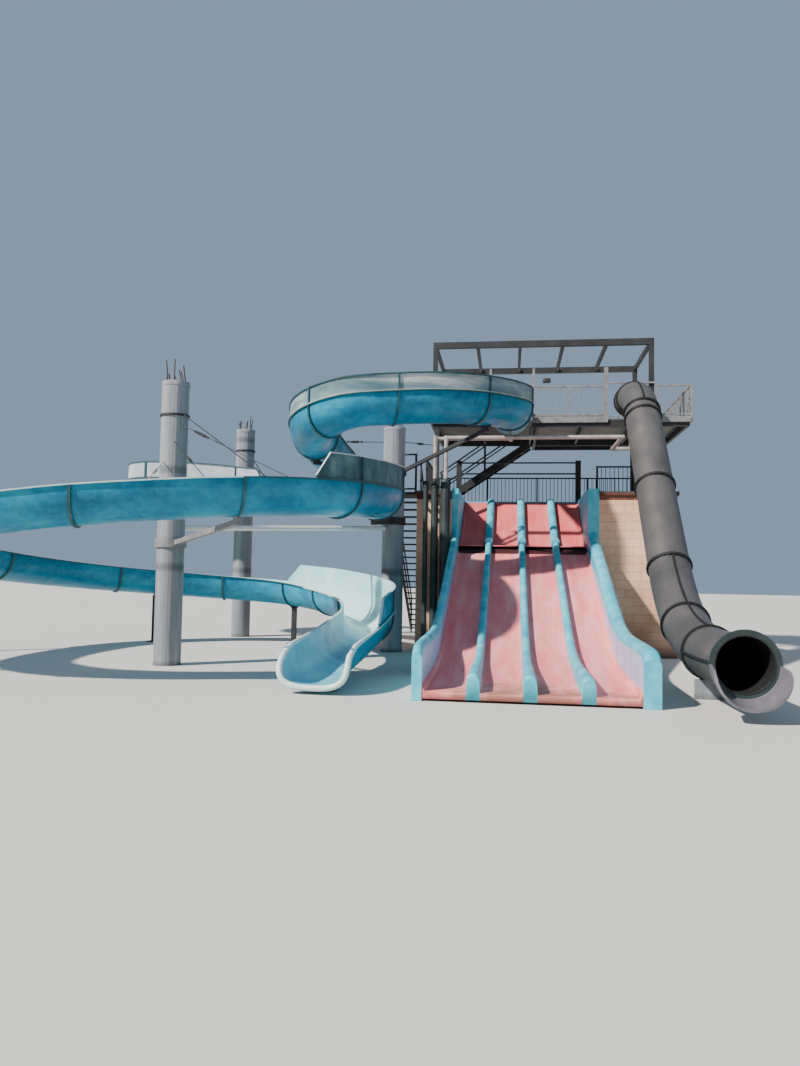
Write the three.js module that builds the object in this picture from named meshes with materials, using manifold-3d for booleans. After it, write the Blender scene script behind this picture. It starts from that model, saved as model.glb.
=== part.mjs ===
// Water slide tower: block base, steel start platform, four-lane slide, tube slide and open flume
import * as THREE from 'three';
import { mergeVertices } from 'three/addons/utils/BufferGeometryUtils.js';
import Module from 'manifold-3d';

// Driving dimensions in millimetres. Z is 0 at the water line, Y runs away from the pool
const GAP = 0.3;
const BASE = { x0: -2580, x1: 3620, y0: -100, y1: 5300, wall: 200, top: 3930, slab: 100, overhang: 40 };
const SLIDE = { inner: 1560, leftWall: 150, rightWall: 250, divider: 160, dividerHeight: 190, bed: 60 };
const SLOT = { x0: -1715, x1: 1815, back: 3650, sill: 2240 };
const KINK = { y: 420, z: 2560 };
const CHEEK_TOP = 3990;
const FOOT_Y = -8000;
const DECK = { x0: -2370, x1: 4220, y0: 1350, y1: 5200, top: 5960, plate: 30, beam: 160 };
const NOTCH = { x1: 350, y0: 4400 };
const POST = 120;
const ROOF = { x0: -2370, x1: 3340, y0: 1350, y1: 4100, top: 8070, chord: 160, rafters: 6 };
const STAIR = { x: -3040.3, near: 180, far: 1250, foot: 6400, width: 840 };
const PIPES = { y: -430, drain: -2330, tube: -1850, flume: -2110, level: 5180, thin: 50, outlet: 1.35 };
const PIPE_BENDS = { tubeX: 2300, flumeY: -300 };
const GATE = { left: -1790, right: 1640, y: 3800, top: 5240 };
const RAIL = { height: 1000, deckHeight: 880, tube: 40, post: 25, span: 1600, edge: 30, plate: 140 };
const FLUME = { radius: 500, wall: 15, straight: 100, lip: 50, lipThick: 20 };
const STATION = { step: 0.05, turn: 0.27, reach: 1.3 };
const FLUME_FACETS = 7;
const FLUME_DROP = FLUME.straight + (FLUME.radius + FLUME.wall) * Math.cos(Math.PI / 2 / FLUME_FACETS);
const SEAT_GAP = 0.7;
const TUBE = { inner: 375, wall: 20, flange: 425, mouthFlange: 470, flangeWidth: 60 };
const COLUMN_RADIUS = 265;
const COLUMNS = {
  west: { x: -6930, y: -4640, top: 5570 },
  north: { x: -8020, y: 2900, top: 6020 },
  middle: { x: -3120, y: -400, top: 5430 },
};

// Centre of the flume's mouth line, one point about every 1.2 m: x, y and the height of its rim
const FLUME_PATH = [
  [-300, 1291.7, 6170], [-300, 200, 6040], [-370, -900, 5920], [-850, -2000, 5790], [-1600, -2700, 5710],
  [-2600, -3100, 5620], [-3600, -3350, 5490], [-4350, -2950, 5310], [-4780, -2000, 5200],
  [-4850, -700, 5080], [-4860, 800, 4980], [-4950, 2300, 4890], [-5300, 3900, 4800], [-6300, 5200, 4730],
  [-7900, 5700, 4670], [-9500, 5300, 4610], [-10800, 4100, 4550], [-11020, 2900, 4500],
  [-10250, 1880, 4440], [-8900, 1600, 4360], [-7500, 1550, 4240], [-6300, 1000, 4100], [-5350, -100, 3970],
  [-4600, -1200, 3840], [-3900, -2000, 3750], [-3200, -2750, 3660], [-3000, -3600, 3580],
  [-3100, -4700, 3500], [-3450, -5700, 3450], [-4050, -6500, 3400], [-4900, -7100, 3330],
  [-6100, -7600, 3215], [-7400, -8000, 3070], [-8800, -8300, 2860], [-10300, -8100, 2710],
  [-11500, -7100, 2560], [-11900, -5600, 2410], [-11900, -3900, 2260], [-11600, -2200, 2110],
  [-10800, -700, 1970], [-9500, 400, 1850], [-8000, 1000, 1750], [-6600, 1150, 1660], [-5500, 750, 1560],
  [-4650, -250, 1460], [-3950, -1350, 1360], [-3400, -2500, 1250], [-3120, -3700, 1130], [-3080, -4900, 1000],
  [-3120, -6100, 850], [-3200, -7200, 710], [-3240, -7850, 645],
];

// Places along the path where arms and legs carry the flume, by column and clamp height
const ARMS = {
  west: { z: 2380, thick: 90, places: [29.87] },
  north: { z: 3650, thick: 110, places: [11.4, 14, 17, 19.7] },
  middle_upper: { z: 4350, thick: 80, places: [3, 8.5] },
  middle_lower: { z: 3140, thick: 110, places: [25] },
};
const LEGS = [34.5, 37.4, 40, 42.6];
const OUTLET_SEAT = 50.2;
const TIES = { west: { z: 4900, place: 28.9 }, north: { z: 5400, place: 14 } };
const LINK = { radius: 55, west: 2690, middle: 2960, tilt: 2.6 };

// Flume lengths between bolted joints, as places along the path, with the side of the raised wall
// (left is +1) and where along the length that wall starts and ends
const FLUME_RUNS = [
  { name: 'flume_start', from: 0, to: 5.15, side: 1, raised: [0.8, 5.15], height: 370 },
  { name: 'flume_upper_turn', from: 5.15, to: 9.8, side: 1, raised: [5.15, 9.6], height: 370 },
  { name: 'flume_crossing', from: 9.8, to: 15.5, side: -1, raised: [15.5, 15.5], height: 60 },
  { name: 'flume_north_bend', from: 15.5, to: 20.6, side: -1, raised: [16.3, 20.6], height: 460 },
  { name: 'flume_descent', from: 20.6, to: 25.2, side: 1, raised: [22.6, 25.2], height: 460 },
  { name: 'flume_middle_turn', from: 25.2, to: 29.87, side: 1, raised: [25.2, 28.8], height: 460 },
  { name: 'flume_front_run', from: 29.87, to: 37, side: 1, raised: [37, 37], height: 60 },
  { name: 'flume_return', from: 37, to: 43.6, side: 1, raised: [42.2, 43.6], height: 460 },
  { name: 'flume_outlet', from: 43.6, to: 51, side: 1, raised: [43.6, 48.5], height: 460 },
];
const SLANT = 0.25;
const MIN_UPSTAND = 50;

// Joints of the tube slide, from the platform to its mouth: y, z and the slope there in degrees
const TUBE_X = 2750;
const TUBE_SIDES = 16;
const TUBE_SEAT = TUBE.flange * Math.cos(Math.PI / TUBE_SIDES) + SEAT_GAP;
const TUBE_JOINTS = [
  { y: 1350, z: 6420, slope: 0 }, { y: -420, z: 5770, slope: 50 }, { y: -2120, z: 3800, slope: 49 },
  { y: -3650, z: 2060, slope: 48 }, { y: -5090, z: 1050, slope: 22 }, { y: -6760, z: 715, slope: 3 },
  { y: -8660, z: 715, slope: 0 },
];
const TUBE_RUNS = [['tube_entry_elbow', 5], ['tube_upper_straight', 1], ['tube_lower_straight', 1],
  ['tube_bend', 4], ['tube_run_out', 2], ['tube_mouth', 2]];
const TUBE_LIP = { radius: 455, wall: 25, length: 400, slope: 9 };
const LIP_CLEAR = GAP + TUBE_LIP.radius * Math.tan((TUBE_LIP.slope * Math.PI) / 180);
const CRADLE_HALF = 220;

const wasm = await Module();
wasm.setup();
const model = new THREE.Group();
const up = new THREE.Vector3(0, 0, 1);

const paint = {
  block: [0xcdb096, 0.9, 0], concrete: [0xa8a29a, 0.9, 0], steel: [0x4c4b47, 0.6, 0.3],
  cyan: [0x3fb2c8, 0.4, 0], pink: [0xe58a8a, 0.5, 0], black: [0x3b3a3b, 0.6, 0], blue: [0x1f86a5, 0.4, 0],
  galvanised: [0xb9aea6, 0.5, 0.4], dark: [0x1f2a2a, 0.7, 0],
};

// Adds one named piece with its own material
function add(name, geometry, finish) {
  const [color, roughness, metalness] = paint[finish];
  const mesh = new THREE.Mesh(geometry, new THREE.MeshStandardMaterial({ color, roughness, metalness }));
  mesh.name = name;
  model.add(mesh);
}

// Joins overlapping shapes into one closed solid
function fuse(shapes) {
  const solids = shapes.map((shape) => {
    const bare = shape.clone();
    bare.deleteAttribute('normal');
    bare.deleteAttribute('uv');
    const merged = mergeVertices(bare, 0.001);
    const mesh = new wasm.Mesh({
      numProp: 3,
      vertProperties: new Float32Array(merged.attributes.position.array),
      triVerts: new Uint32Array(merged.index.array),
    });
    return new wasm.Manifold(mesh);
  });
  const mesh = solids.reduce((all, one) => all.add(one)).getMesh();
  const geometry = new THREE.BufferGeometry();
  geometry.setAttribute('position', new THREE.BufferAttribute(new Float32Array(mesh.vertProperties), 3));
  geometry.setIndex(new THREE.BufferAttribute(new Uint32Array(mesh.triVerts), 1));
  geometry.computeVertexNormals();
  return geometry;
}

// Box between two corners
function block(x0, x1, y0, y1, z0, z1) {
  const geometry = new THREE.BoxGeometry(x1 - x0, y1 - y0, z1 - z0);
  return geometry.translate((x0 + x1) / 2, (y0 + y1) / 2, (z0 + z1) / 2);
}

// Square bar from one point to another, w wide and h deep
function bar(a, b, w, h) {
  const start = new THREE.Vector3(...a);
  const along = new THREE.Vector3(...b).sub(start);
  const length = along.length();
  along.normalize();
  const steep = Math.abs(along.z) > 0.99;
  const side = new THREE.Vector3().crossVectors(steep ? new THREE.Vector3(0, 1, 0) : up, along).normalize();
  const top = new THREE.Vector3().crossVectors(along, side);
  const turn = new THREE.Matrix4().makeBasis(along, side, top).setPosition(start);
  return new THREE.BoxGeometry(length, w, h).translate(length / 2, 0, 0).applyMatrix4(turn);
}

// Round bar from one point to another
function rod(a, b, radius, sides = 8) {
  const start = new THREE.Vector3(...a);
  const along = new THREE.Vector3(...b).sub(start);
  const geometry = new THREE.CylinderGeometry(radius, radius, along.length(), sides);
  const middle = start.addScaledVector(along, 0.5);
  const turn = new THREE.Quaternion().setFromUnitVectors(new THREE.Vector3(0, 1, 0), along.normalize());
  return geometry.applyQuaternion(turn).translate(middle.x, middle.y, middle.z);
}

function outline(points) {
  return new THREE.Shape(points.map(([a, b]) => new THREE.Vector2(a, b)));
}

// Plan outline raised from z0 to z1
function raise(points, z0, z1) {
  const geometry = new THREE.ExtrudeGeometry(outline(points), { depth: z1 - z0, bevelEnabled: false });
  return geometry.translate(0, 0, z0);
}

// Side outline in Y and Z, as wide as x0 to x1
function widen(points, x0, x1) {
  const geometry = new THREE.ExtrudeGeometry(outline(points), { depth: x1 - x0, bevelEnabled: false });
  const turn = new THREE.Matrix4().makeBasis(new THREE.Vector3(0, 1, 0), up, new THREE.Vector3(1, 0, 0));
  return geometry.applyMatrix4(turn).translate(x0, 0, 0);
}

// Section carried through a row of stations, each placed by its own rule
function carry(section, count, place) {
  const geometry = new THREE.ExtrudeGeometry(section, { depth: 1, steps: count - 1, bevelEnabled: false });
  const at = geometry.attributes.position;
  for (let i = 0; i < at.count; i++) {
    const station = Math.round(at.getZ(i) * (count - 1));
    const point = place(at.getX(i), at.getY(i), station);
    at.setXYZ(i, point.x, point.y, point.z);
  }
  return geometry;
}

// Block base: four walls and the deck slab with a slot for the lanes
function blockBase() {
  const wallTop = BASE.top - BASE.slab - GAP;
  const { x0, x1, y0, y1, wall } = BASE;
  const front = [[x0, 0], [x1, 0], [x1, wallTop], [SLOT.x1 + GAP, wallTop], [SLOT.x1 + GAP, SLOT.sill],
    [SLOT.x0 - GAP, SLOT.sill], [SLOT.x0 - GAP, wallTop], [x0, wallTop]];
  const standing = new THREE.ExtrudeGeometry(outline(front), { depth: wall, bevelEnabled: false });
  add('base_front_wall', standing.rotateX(Math.PI / 2).translate(0, y0 + wall, 0), 'block');
  add('base_back_wall', block(x0, x1, y1 - wall, y1, 0, wallTop), 'block');
  add('base_left_wall', block(x0, x0 + wall, y0 + wall + GAP, y1 - wall - GAP, 0, wallTop), 'block');
  add('base_right_wall', block(x1 - wall, x1, y0 + wall + GAP, y1 - wall - GAP, 0, wallTop), 'block');
  const o = BASE.overhang;
  const slab = [[x0 - o, y0 - o], [SLOT.x0 - GAP, y0 - o], [SLOT.x0 - GAP, SLOT.back],
    [SLOT.x1 + GAP, SLOT.back], [SLOT.x1 + GAP, y0 - o], [x1 + o, y0 - o], [x1 + o, y1 + o],
    [x0 - o, y1 + o]];
  add('base_deck', raise(slab, BASE.top - BASE.slab, BASE.top), 'concrete');
}

// Height of the lower lanes along the slide, as a smooth curve
function laneFloor(count) {
  const curve = new THREE.SplineCurve([[KINK.y, KINK.z], [-1100, 1915], [-2600, 1280], [-4000, 715],
    [-5100, 370], [-6400, 205], [FOOT_Y, 140]].map(([y, z]) => new THREE.Vector2(y, z)));
  return curve.getPoints(count).map((point) => [point.x, point.y]);
}

// Four-lane slide: upper moulding, lower bed and the two side walls that stand on the ground
function laneSlide() {
  const { inner, leftWall, rightWall, divider, dividerHeight, bed } = SLIDE;
  const pitch = (2 * inner + divider) / 4;
  const dividers = [-1, 0, 1].map((lane) => lane * pitch);
  const floor = laneFloor(18);
  const under = floor.filter(([y]) => y > FOOT_Y + 300).map(([y, z]) => [y, z - bed]).reverse();
  const bedSide = [...floor, [FOOT_Y, 0], [FOOT_Y + 300, 0], ...under];
  const ridge = floor.filter(([y]) => y < 200);
  const ridgeTop = ridge.map(([y, z]) => [y, z + dividerHeight]);
  const ridgeSide = [...ridgeTop, ...ridge.map(([y, z]) => [y, z - bed / 2]).reverse()];
  add('slide_lower_lanes', fuse([widen(bedSide, -inner + GAP, inner - GAP),
    ...dividers.map((x) => widen(ridgeSide, x - divider / 2, x + divider / 2))]), 'pink');

  const wallBack = BASE.y0 - GAP;
  const wallRow = floor.filter(([y]) => y < wallBack - 200 && y > -4700).map(([y, z]) => [y, z + 560]);
  const wallSide = [[wallBack, 0], [wallBack, 2960], ...wallRow, [-5400, 900], [-7000, 880], [-7900, 860],
    [-8050, 760], [-8050, 0]];
  add('slide_left_wall', widen(wallSide, -inner - leftWall, -inner), 'cyan');
  add('slide_right_wall', widen(wallSide, inner, inner + rightWall), 'cyan');

  const back = SLOT.back - GAP;
  const underKink = KINK.z + GAP;
  const upperSide = [[330, underKink], [700, underKink], [2900, 3840], [back, 3925], [back, 3985],
    [2900, 3900], [700, 2620], [330, underKink + bed]];
  const cheekFront = BASE.y0 + GAP;
  const cheek = [[cheekFront, SLOT.sill + GAP], [620, SLOT.sill + GAP], [2900, 3780], [back, 3870],
    [back, CHEEK_TOP], [cheekFront, CHEEK_TOP]];
  const upperRidge = [[360, 2590], [700, 2600], [2900, 3860], [2900, 4010], [720, 2800], [380, 2740]];
  add('slide_upper_left_wall', widen(cheek, SLOT.x0, -inner), 'cyan');
  add('slide_upper_right_wall', widen(cheek, inner, SLOT.x1), 'cyan');
  add('slide_upper_lanes', fuse([widen(upperSide, -inner + GAP, inner - GAP),
    ...dividers.map((x) => widen(upperRidge, x - divider / 2, x + divider / 2))]), 'pink');
}

// Place of a path position: its point, the way on and the left-hand side, level across
const flumeCurve = new THREE.CatmullRomCurve3(
  FLUME_PATH.map(([x, y, z]) => new THREE.Vector3(x, y, z)), false, 'catmullrom', 0.5);
function flumeFrame(u) {
  const t = Math.min(Math.max(u / (FLUME_PATH.length - 1), 0), 1);
  const point = flumeCurve.getPoint(t);
  const heading = flumeCurve.getTangent(t);
  const left = new THREE.Vector3().crossVectors(up, heading).normalize();
  return { point, heading, left };
}

// Half-pipe section with lips, and an upstand on one side that stands in for height 1 above the rim
function flumeSection(side) {
  const { radius, wall, straight, lip, lipThick } = FLUME;
  const outer = radius + wall;
  const arc = (r, from, to) => Array.from({ length: FLUME_FACETS + 1 }, (_, i) => {
    const angle = from + ((to - from) * i) / FLUME_FACETS;
    return [r * Math.cos(angle), r * Math.sin(angle) - straight];
  });
  const points = [[-outer - lip, 0], [-outer - lip, -lipThick], [-outer, -lipThick],
    ...arc(outer, Math.PI, 2 * Math.PI), [outer, -lipThick], [outer + lip, -lipThick],
    [outer + lip, 0], [outer, 0], [outer, 1], [radius, 1], ...arc(radius, 2 * Math.PI, Math.PI),
    [-radius, 0]];
  return outline(points.map(([a, b]) => [a * side, b]));
}

// Height of the raised wall at one place: up over a slanted end, level, and down again
function upstand(run, u) {
  const [first, last] = run.raised;
  const rise = first === run.from ? 1 : (u - first) / SLANT;
  const fall = last === run.to ? 1 : (last - u) / SLANT;
  const share = Math.min(Math.max(Math.min(rise, fall), 0), 1);
  return MIN_UPSTAND + (run.height - MIN_UPSTAND) * share;
}

// Stations of one flume length: closer where it bends, with extra ones where the raised wall slants
function flumeStations(run) {
  const [first, last] = run.raised;
  const held = [...Object.values(ARMS).flatMap((arm) => arm.places), ...LEGS];
  const seats = [PIPES.outlet, OUTLET_SEAT, ...held, ...Object.values(TIES).map((tie) => tie.place)];
  const marks = [run.from, run.to, ...seats.filter((u) => u > run.from && u < run.to)];
  if (last > first && first > run.from) marks.push(first, first + SLANT);
  if (last > first && last < run.to) marks.push(last - SLANT, last);
  marks.sort((a, b) => a - b);
  const stations = [marks[0]];
  for (let u = run.from + STATION.step; u < run.to; u += STATION.step) {
    const done = stations[stations.length - 1];
    const next = marks.find((mark) => mark > done + 1e-6);
    const turned = flumeFrame(u).heading.angleTo(flumeFrame(done).heading);
    if (u >= next - STATION.step) {
      if (u >= next) stations.push(next);
    } else if (turned > STATION.turn || u - done > STATION.reach) stations.push(u);
  }
  stations.push(run.to);
  return stations.filter((u, i) => i === 0 || u - stations[i - 1] > 1e-6);
}

function flume() {
  FLUME_RUNS.forEach((run) => {
    const stations = flumeStations(run);
    const last = stations.length - 1;
    const frames = stations.map((u, i) => {
      const frame = flumeFrame(u);
      const trim = i === 0 ? GAP / 2 : i === last ? -GAP / 2 : 0;
      frame.point.addScaledVector(frame.heading, trim);
      return frame;
    });
    const geometry = carry(flumeSection(run.side), stations.length, (a, b, i) => {
      const { point, left } = frames[i];
      const height = b > 0.5 ? upstand(run, stations[i]) : b;
      return point.clone().addScaledVector(left, a).add(new THREE.Vector3(0, 0, height));
    });
    add(run.name, geometry, 'blue');
  });
}

// Flat pad in line with the flume's slope, across and down from the rim's centre
function pad(u, across, down, [length, width, thick]) {
  const { point, heading, left } = flumeFrame(u);
  const top = new THREE.Vector3().crossVectors(heading, left).normalize();
  const seat = point.clone().addScaledVector(left, across);
  seat.z -= down + SEAT_GAP;
  const turn = new THREE.Matrix4().makeBasis(heading, left, top).setPosition(seat);
  return new THREE.BoxGeometry(length, width, thick).translate(0, 0, -thick / 2).applyMatrix4(turn);
}

function saddle(u) {
  return pad(u, 0, FLUME_DROP, [80, 220, 60]);
}

function column({ x, y, top }) {
  const shaft = new THREE.CylinderGeometry(COLUMN_RADIUS, COLUMN_RADIUS, top, 24);
  return shaft.rotateX(Math.PI / 2).translate(x, y, top / 2);
}

// Clamp ring round a column
function clamp({ x, y }, z, half, thick) {
  const near = COLUMN_RADIUS + GAP;
  const far = near + thick;
  const profile = [[near, -half], [far, -half], [far, half], [near, half], [near, -half]];
  const ring = new THREE.LatheGeometry(profile.map(([r, h]) => new THREE.Vector2(r, h)), 24);
  return ring.rotateX(Math.PI / 2).translate(x, y, z);
}

// Clamp ring with a bracket arm out to each place under the flume
function arms(at, { z, thick, places }) {
  const { x, y } = at;
  const pieces = places.flatMap((u) => {
    const { point } = flumeFrame(u);
    const reach = new THREE.Vector3(point.x - x, point.y - y, 0).normalize();
    const root = [x + reach.x * (COLUMN_RADIUS + 20), y + reach.y * (COLUMN_RADIUS + 20), z];
    const tip = [point.x + reach.x * 60, point.y + reach.y * 60, point.z - FLUME_DROP - 55 - thick / 2];
    return [bar(root, tip, thick, thick), saddle(u)];
  });
  return fuse([clamp(at, z, 90, 40), ...pieces]);
}

// Tie rod from a clamp high on a column to a plate under the near lip of the flume
function tie(at, z, u) {
  const { point, left } = flumeFrame(u);
  const reach = new THREE.Vector3(point.x - at.x, point.y - at.y, 0).normalize();
  const side = Math.sign(left.dot(reach)) * -(FLUME.radius + FLUME.wall + FLUME.lip / 2);
  const start = [at.x + reach.x * (COLUMN_RADIUS + 20), at.y + reach.y * (COLUMN_RADIUS + 20), z];
  const eye = point.clone().addScaledVector(left, side * 1.08);
  return fuse([clamp(at, z, 20, 25), rod(start, [eye.x, eye.y, eye.z - FLUME.lipThick - 8], 12, 6),
    pad(u, side * 1.05, FLUME.lipThick, [40, 90, 16])]);
}

function leg(u) {
  const { point } = flumeFrame(u);
  const top = point.z - FLUME_DROP - 40;
  const foot = block(point.x - 150, point.x + 150, point.y - 150, point.y + 150, 0, 20);
  const stem = block(point.x - 60, point.x + 60, point.y - 60, point.y + 60, 0, top);
  return fuse([foot, stem, saddle(u)]);
}

function flumeSupports() {
  Object.entries(COLUMNS).forEach(([name, at]) => add(`column_${name}`, column(at), 'concrete'));
  Object.entries(ARMS).forEach(([name, arm]) =>
    add(`arms_${name}`, arms(COLUMNS[name.split('_')[0]], arm), 'steel'));
  Object.entries(TIES).forEach(([name, { z, place }]) =>
    add(`tie_${name}`, tie(COLUMNS[name], z, place), 'steel'));
  LEGS.forEach((u, i) => add(`flume_leg_${i + 1}`, leg(u), 'steel'));
  add('flume_outlet_saddle', outletSaddle(OUTLET_SEAT), 'concrete');
  const west = COLUMNS.west;
  const middle = COLUMNS.middle;
  const run = new THREE.Vector3(middle.x - west.x, middle.y - west.y, 0).normalize();
  const clear = COLUMN_RADIUS + GAP + LINK.tilt;
  add('column_link_pipe', rod([west.x + run.x * clear, west.y + run.y * clear, LINK.west],
    [middle.x - run.x * clear, middle.y - run.y * clear, LINK.middle], LINK.radius, 10), 'galvanised');
}

// Low masonry seat under the flume's last length
function outletSaddle(u) {
  const { point, heading, left } = flumeFrame(u);
  const slope = heading.z / Math.hypot(heading.x, heading.y);
  const top = point.z - FLUME_DROP - SEAT_GAP;
  const half = 60;
  const side = [[-half, 0], [half, 0], [half, top + slope * half], [-half, top - slope * half]];
  const turn = new THREE.Matrix4().makeBasis(heading.clone().setZ(0).normalize(), up, left.clone().negate());
  const seat = new THREE.ExtrudeGeometry(outline(side), { depth: 500, bevelEnabled: false });
  return seat.translate(0, 0, -250).applyMatrix4(turn.setPosition(point.x, point.y, 0));
}

// Ring section of the tube slide
function ringSection(sides) {
  const circle = (r) => Array.from({ length: sides }, (_, i) => {
    const angle = (2 * Math.PI * (i + 0.5)) / sides;
    return new THREE.Vector2(r * Math.cos(angle), r * Math.sin(angle));
  });
  const shape = new THREE.Shape(circle(TUBE.inner + TUBE.wall));
  shape.holes.push(new THREE.Path(circle(TUBE.inner)));
  return shape;
}

// Round tube along a curve, with a bolted flange at each end
function flangedTube(curve, middleSteps, endFlange) {
  const { inner, wall, flange, flangeWidth } = TUBE;
  const length = curve.getLength();
  const edge = flangeWidth / length;
  const places = [GAP / length, edge, edge + 0.001];
  for (let i = 1; i < middleSteps; i++) places.push(i / middleSteps);
  places.push(1 - edge - 0.001, 1 - edge, 1 - GAP / length);
  const reachAt = (i) => {
    if (i < 2) return flange;
    return i > places.length - 3 ? endFlange : inner + wall;
  };
  return carry(ringSection(TUBE_SIDES), places.length, (a, b, i) => {
    const point = curve.getPointAt(places[i]);
    const heading = curve.getTangentAt(places[i]);
    const side = new THREE.Vector3().crossVectors(up, heading).normalize();
    const top = new THREE.Vector3().crossVectors(heading, side);
    const grow = Math.hypot(a, b) > inner + wall / 2 ? reachAt(i) / (inner + wall) : 1;
    return point.addScaledVector(side, a * grow).addScaledVector(top, b * grow);
  });
}

// Way on at a joint of the tube slide
function tubeHeading(joint) {
  const slope = (joint.slope * Math.PI) / 180;
  return new THREE.Vector3(0, -Math.cos(slope), -Math.sin(slope));
}

function tubeSlide() {
  const points = TUBE_JOINTS.map(({ y, z }) => new THREE.Vector3(TUBE_X, y, z));
  TUBE_RUNS.forEach(([name, steps], i) => {
    const reach = points[i].distanceTo(points[i + 1]) / 3;
    const leave = points[i].clone().addScaledVector(tubeHeading(TUBE_JOINTS[i]), reach);
    const arrive = points[i + 1].clone().addScaledVector(tubeHeading(TUBE_JOINTS[i + 1]), -reach);
    const curve = new THREE.CubicBezierCurve3(points[i], leave, arrive, points[i + 1]);
    add(name, flangedTube(curve, steps, name === 'tube_mouth' ? TUBE.mouthFlange : TUBE.flange), 'black');
  });
  const last = TUBE_JOINTS.length - 1;
  tubeLip(points[last]);
  add('tube_cradle', tubeCradle(TUBE_JOINTS[last - 1]), 'concrete');
}

// Masonry cradle under a joint of the tube, with its top in line with the slope
function tubeCradle({ y, z, slope }) {
  const angle = (slope * Math.PI) / 180;
  const top = z - TUBE_SEAT / Math.cos(angle);
  const half = 50;
  const rise = half * Math.tan(angle);
  return widen([[y - half, 0], [y + half, 0], [y + half, top + rise], [y - half, top - rise]],
    TUBE_X - CRADLE_HALF, TUBE_X + CRADLE_HALF);
}

// Lower half of a wider pipe that carries on past the mouth, a little more steeply
function tubeLip(mouth) {
  const { radius, wall, length } = TUBE_LIP;
  const heading = tubeHeading(TUBE_LIP);
  const count = 12;
  const arc = (r) => Array.from({ length: count + 1 }, (_, i) => {
    const angle = Math.PI + (Math.PI * i) / count;
    return [r * Math.cos(angle), r * Math.sin(angle)];
  });
  const section = outline([...arc(radius), ...arc(radius - wall).reverse()]);
  const side = new THREE.Vector3().crossVectors(up, heading).normalize();
  const top = new THREE.Vector3().crossVectors(heading, side);
  const lip = carry(section, 2, (a, b, i) => mouth.clone().addScaledVector(side, a)
    .addScaledVector(top, b).addScaledVector(heading, LIP_CLEAR + i * length));
  add('tube_lip', lip, 'black');
}

// Open steel frame of the start platform with its deck plate
function platform() {
  const { x0, x1, y0, y1, top, plate, beam } = DECK;
  const plan = [[x0, y0], [x1, y0], [x1, y1], [NOTCH.x1, y1], [NOTCH.x1, NOTCH.y0], [x0, NOTCH.y0]];
  add('platform_deck', raise(plan, top - plate, top), 'steel');
  const under = top - plate - GAP;
  const low = under - beam;
  const w = 80;
  const beams = [block(x0, x1, y0, y0 + w, low, under), block(x0, x1, NOTCH.y0 - w, NOTCH.y0, low, under),
    block(NOTCH.x1, x1, y1 - w, y1, low, under), block(x0, x0 + w, y0, NOTCH.y0, low, under),
    block(x1 - w, x1, y0, y1, low, under), block(NOTCH.x1, NOTCH.x1 + w, y0, y1, low, under)];
  const joists = 5;
  for (let i = 1; i < joists; i++) {
    const x = x0 + ((x1 - x0) * i) / joists;
    beams.push(block(x - 30, x + 30, y0, NOTCH.y0, low + 30, under));
  }
  add('platform_beams', fuse(beams), 'steel');
  const postTop = low - GAP;
  [['front_left', -2300, 1360], ['front_right', 3180, 1360], ['back_left', -2300, 4250],
    ['back_right', 3180, 4250]].forEach(([name, x, y]) =>
    add(`tower_post_${name}`, block(x, x + POST, y, y + POST, BASE.top + GAP, postTop), 'steel'));
}

// Upper portal: four posts, two chords and the rafters between them
function roofFrame() {
  const { x0, x1, y0, y1, top, chord, rafters } = ROOF;
  const foot = DECK.top + GAP;
  const low = top - chord;
  const shapes = [block(x0, x1, y0, y0 + POST, low, top), block(x0, x1, y1, y1 + POST, low, top)];
  [x0, x1 - POST].forEach((x) =>
    [y0, y1].forEach((y) => shapes.push(block(x, x + POST, y, y + POST, foot, top))));
  for (let i = 0; i < rafters; i++) {
    const x = x0 + ((x1 - x0 - POST) * i) / (rafters - 1);
    shapes.push(block(x + 20, x + 100, y0 + 20, y1 + 100, low + 20, top - 20));
  }
  add('roof_frame', fuse(shapes), 'steel');
}

// Railing along a row of corners: top and bottom rail, with a post at each corner and between them
function railing(corners, base, height = RAIL.height) {
  const { tube, post, span } = RAIL;
  const shapes = corners.map(([x, y]) => block(x - post, x + post, y - post, y + post, base, base + height));
  corners.slice(1).forEach(([x, y], i) => {
    const [px, py] = corners[i];
    [height - tube / 2 - 2, 110].forEach((z) => {
      shapes.push(bar([px, py, base + z], [x, y, base + z], tube, tube));
    });
    const bays = Math.ceil(Math.hypot(x - px, y - py) / span);
    for (let bay = 1; bay < bays; bay++) {
      const mx = px + ((x - px) * bay) / bays;
      const my = py + ((y - py) * bay) / bays;
      shapes.push(block(mx - 20, mx + 20, my - 20, my + 20, base, base + height - 20));
    }
  });
  return shapes;
}

// Railing bolted outside a deck edge, with the edge plate that carries it
function edgeRailing(corners, base) {
  const { edge, plate, deckHeight } = RAIL;
  const plates = corners.slice(1).map(([x, y], i) => {
    const z = base - 20;
    return bar([...corners[i], z], [x, y, z], 2 * (edge - GAP), plate);
  });
  return [...railing(corners, base, deckHeight), ...plates];
}

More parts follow.
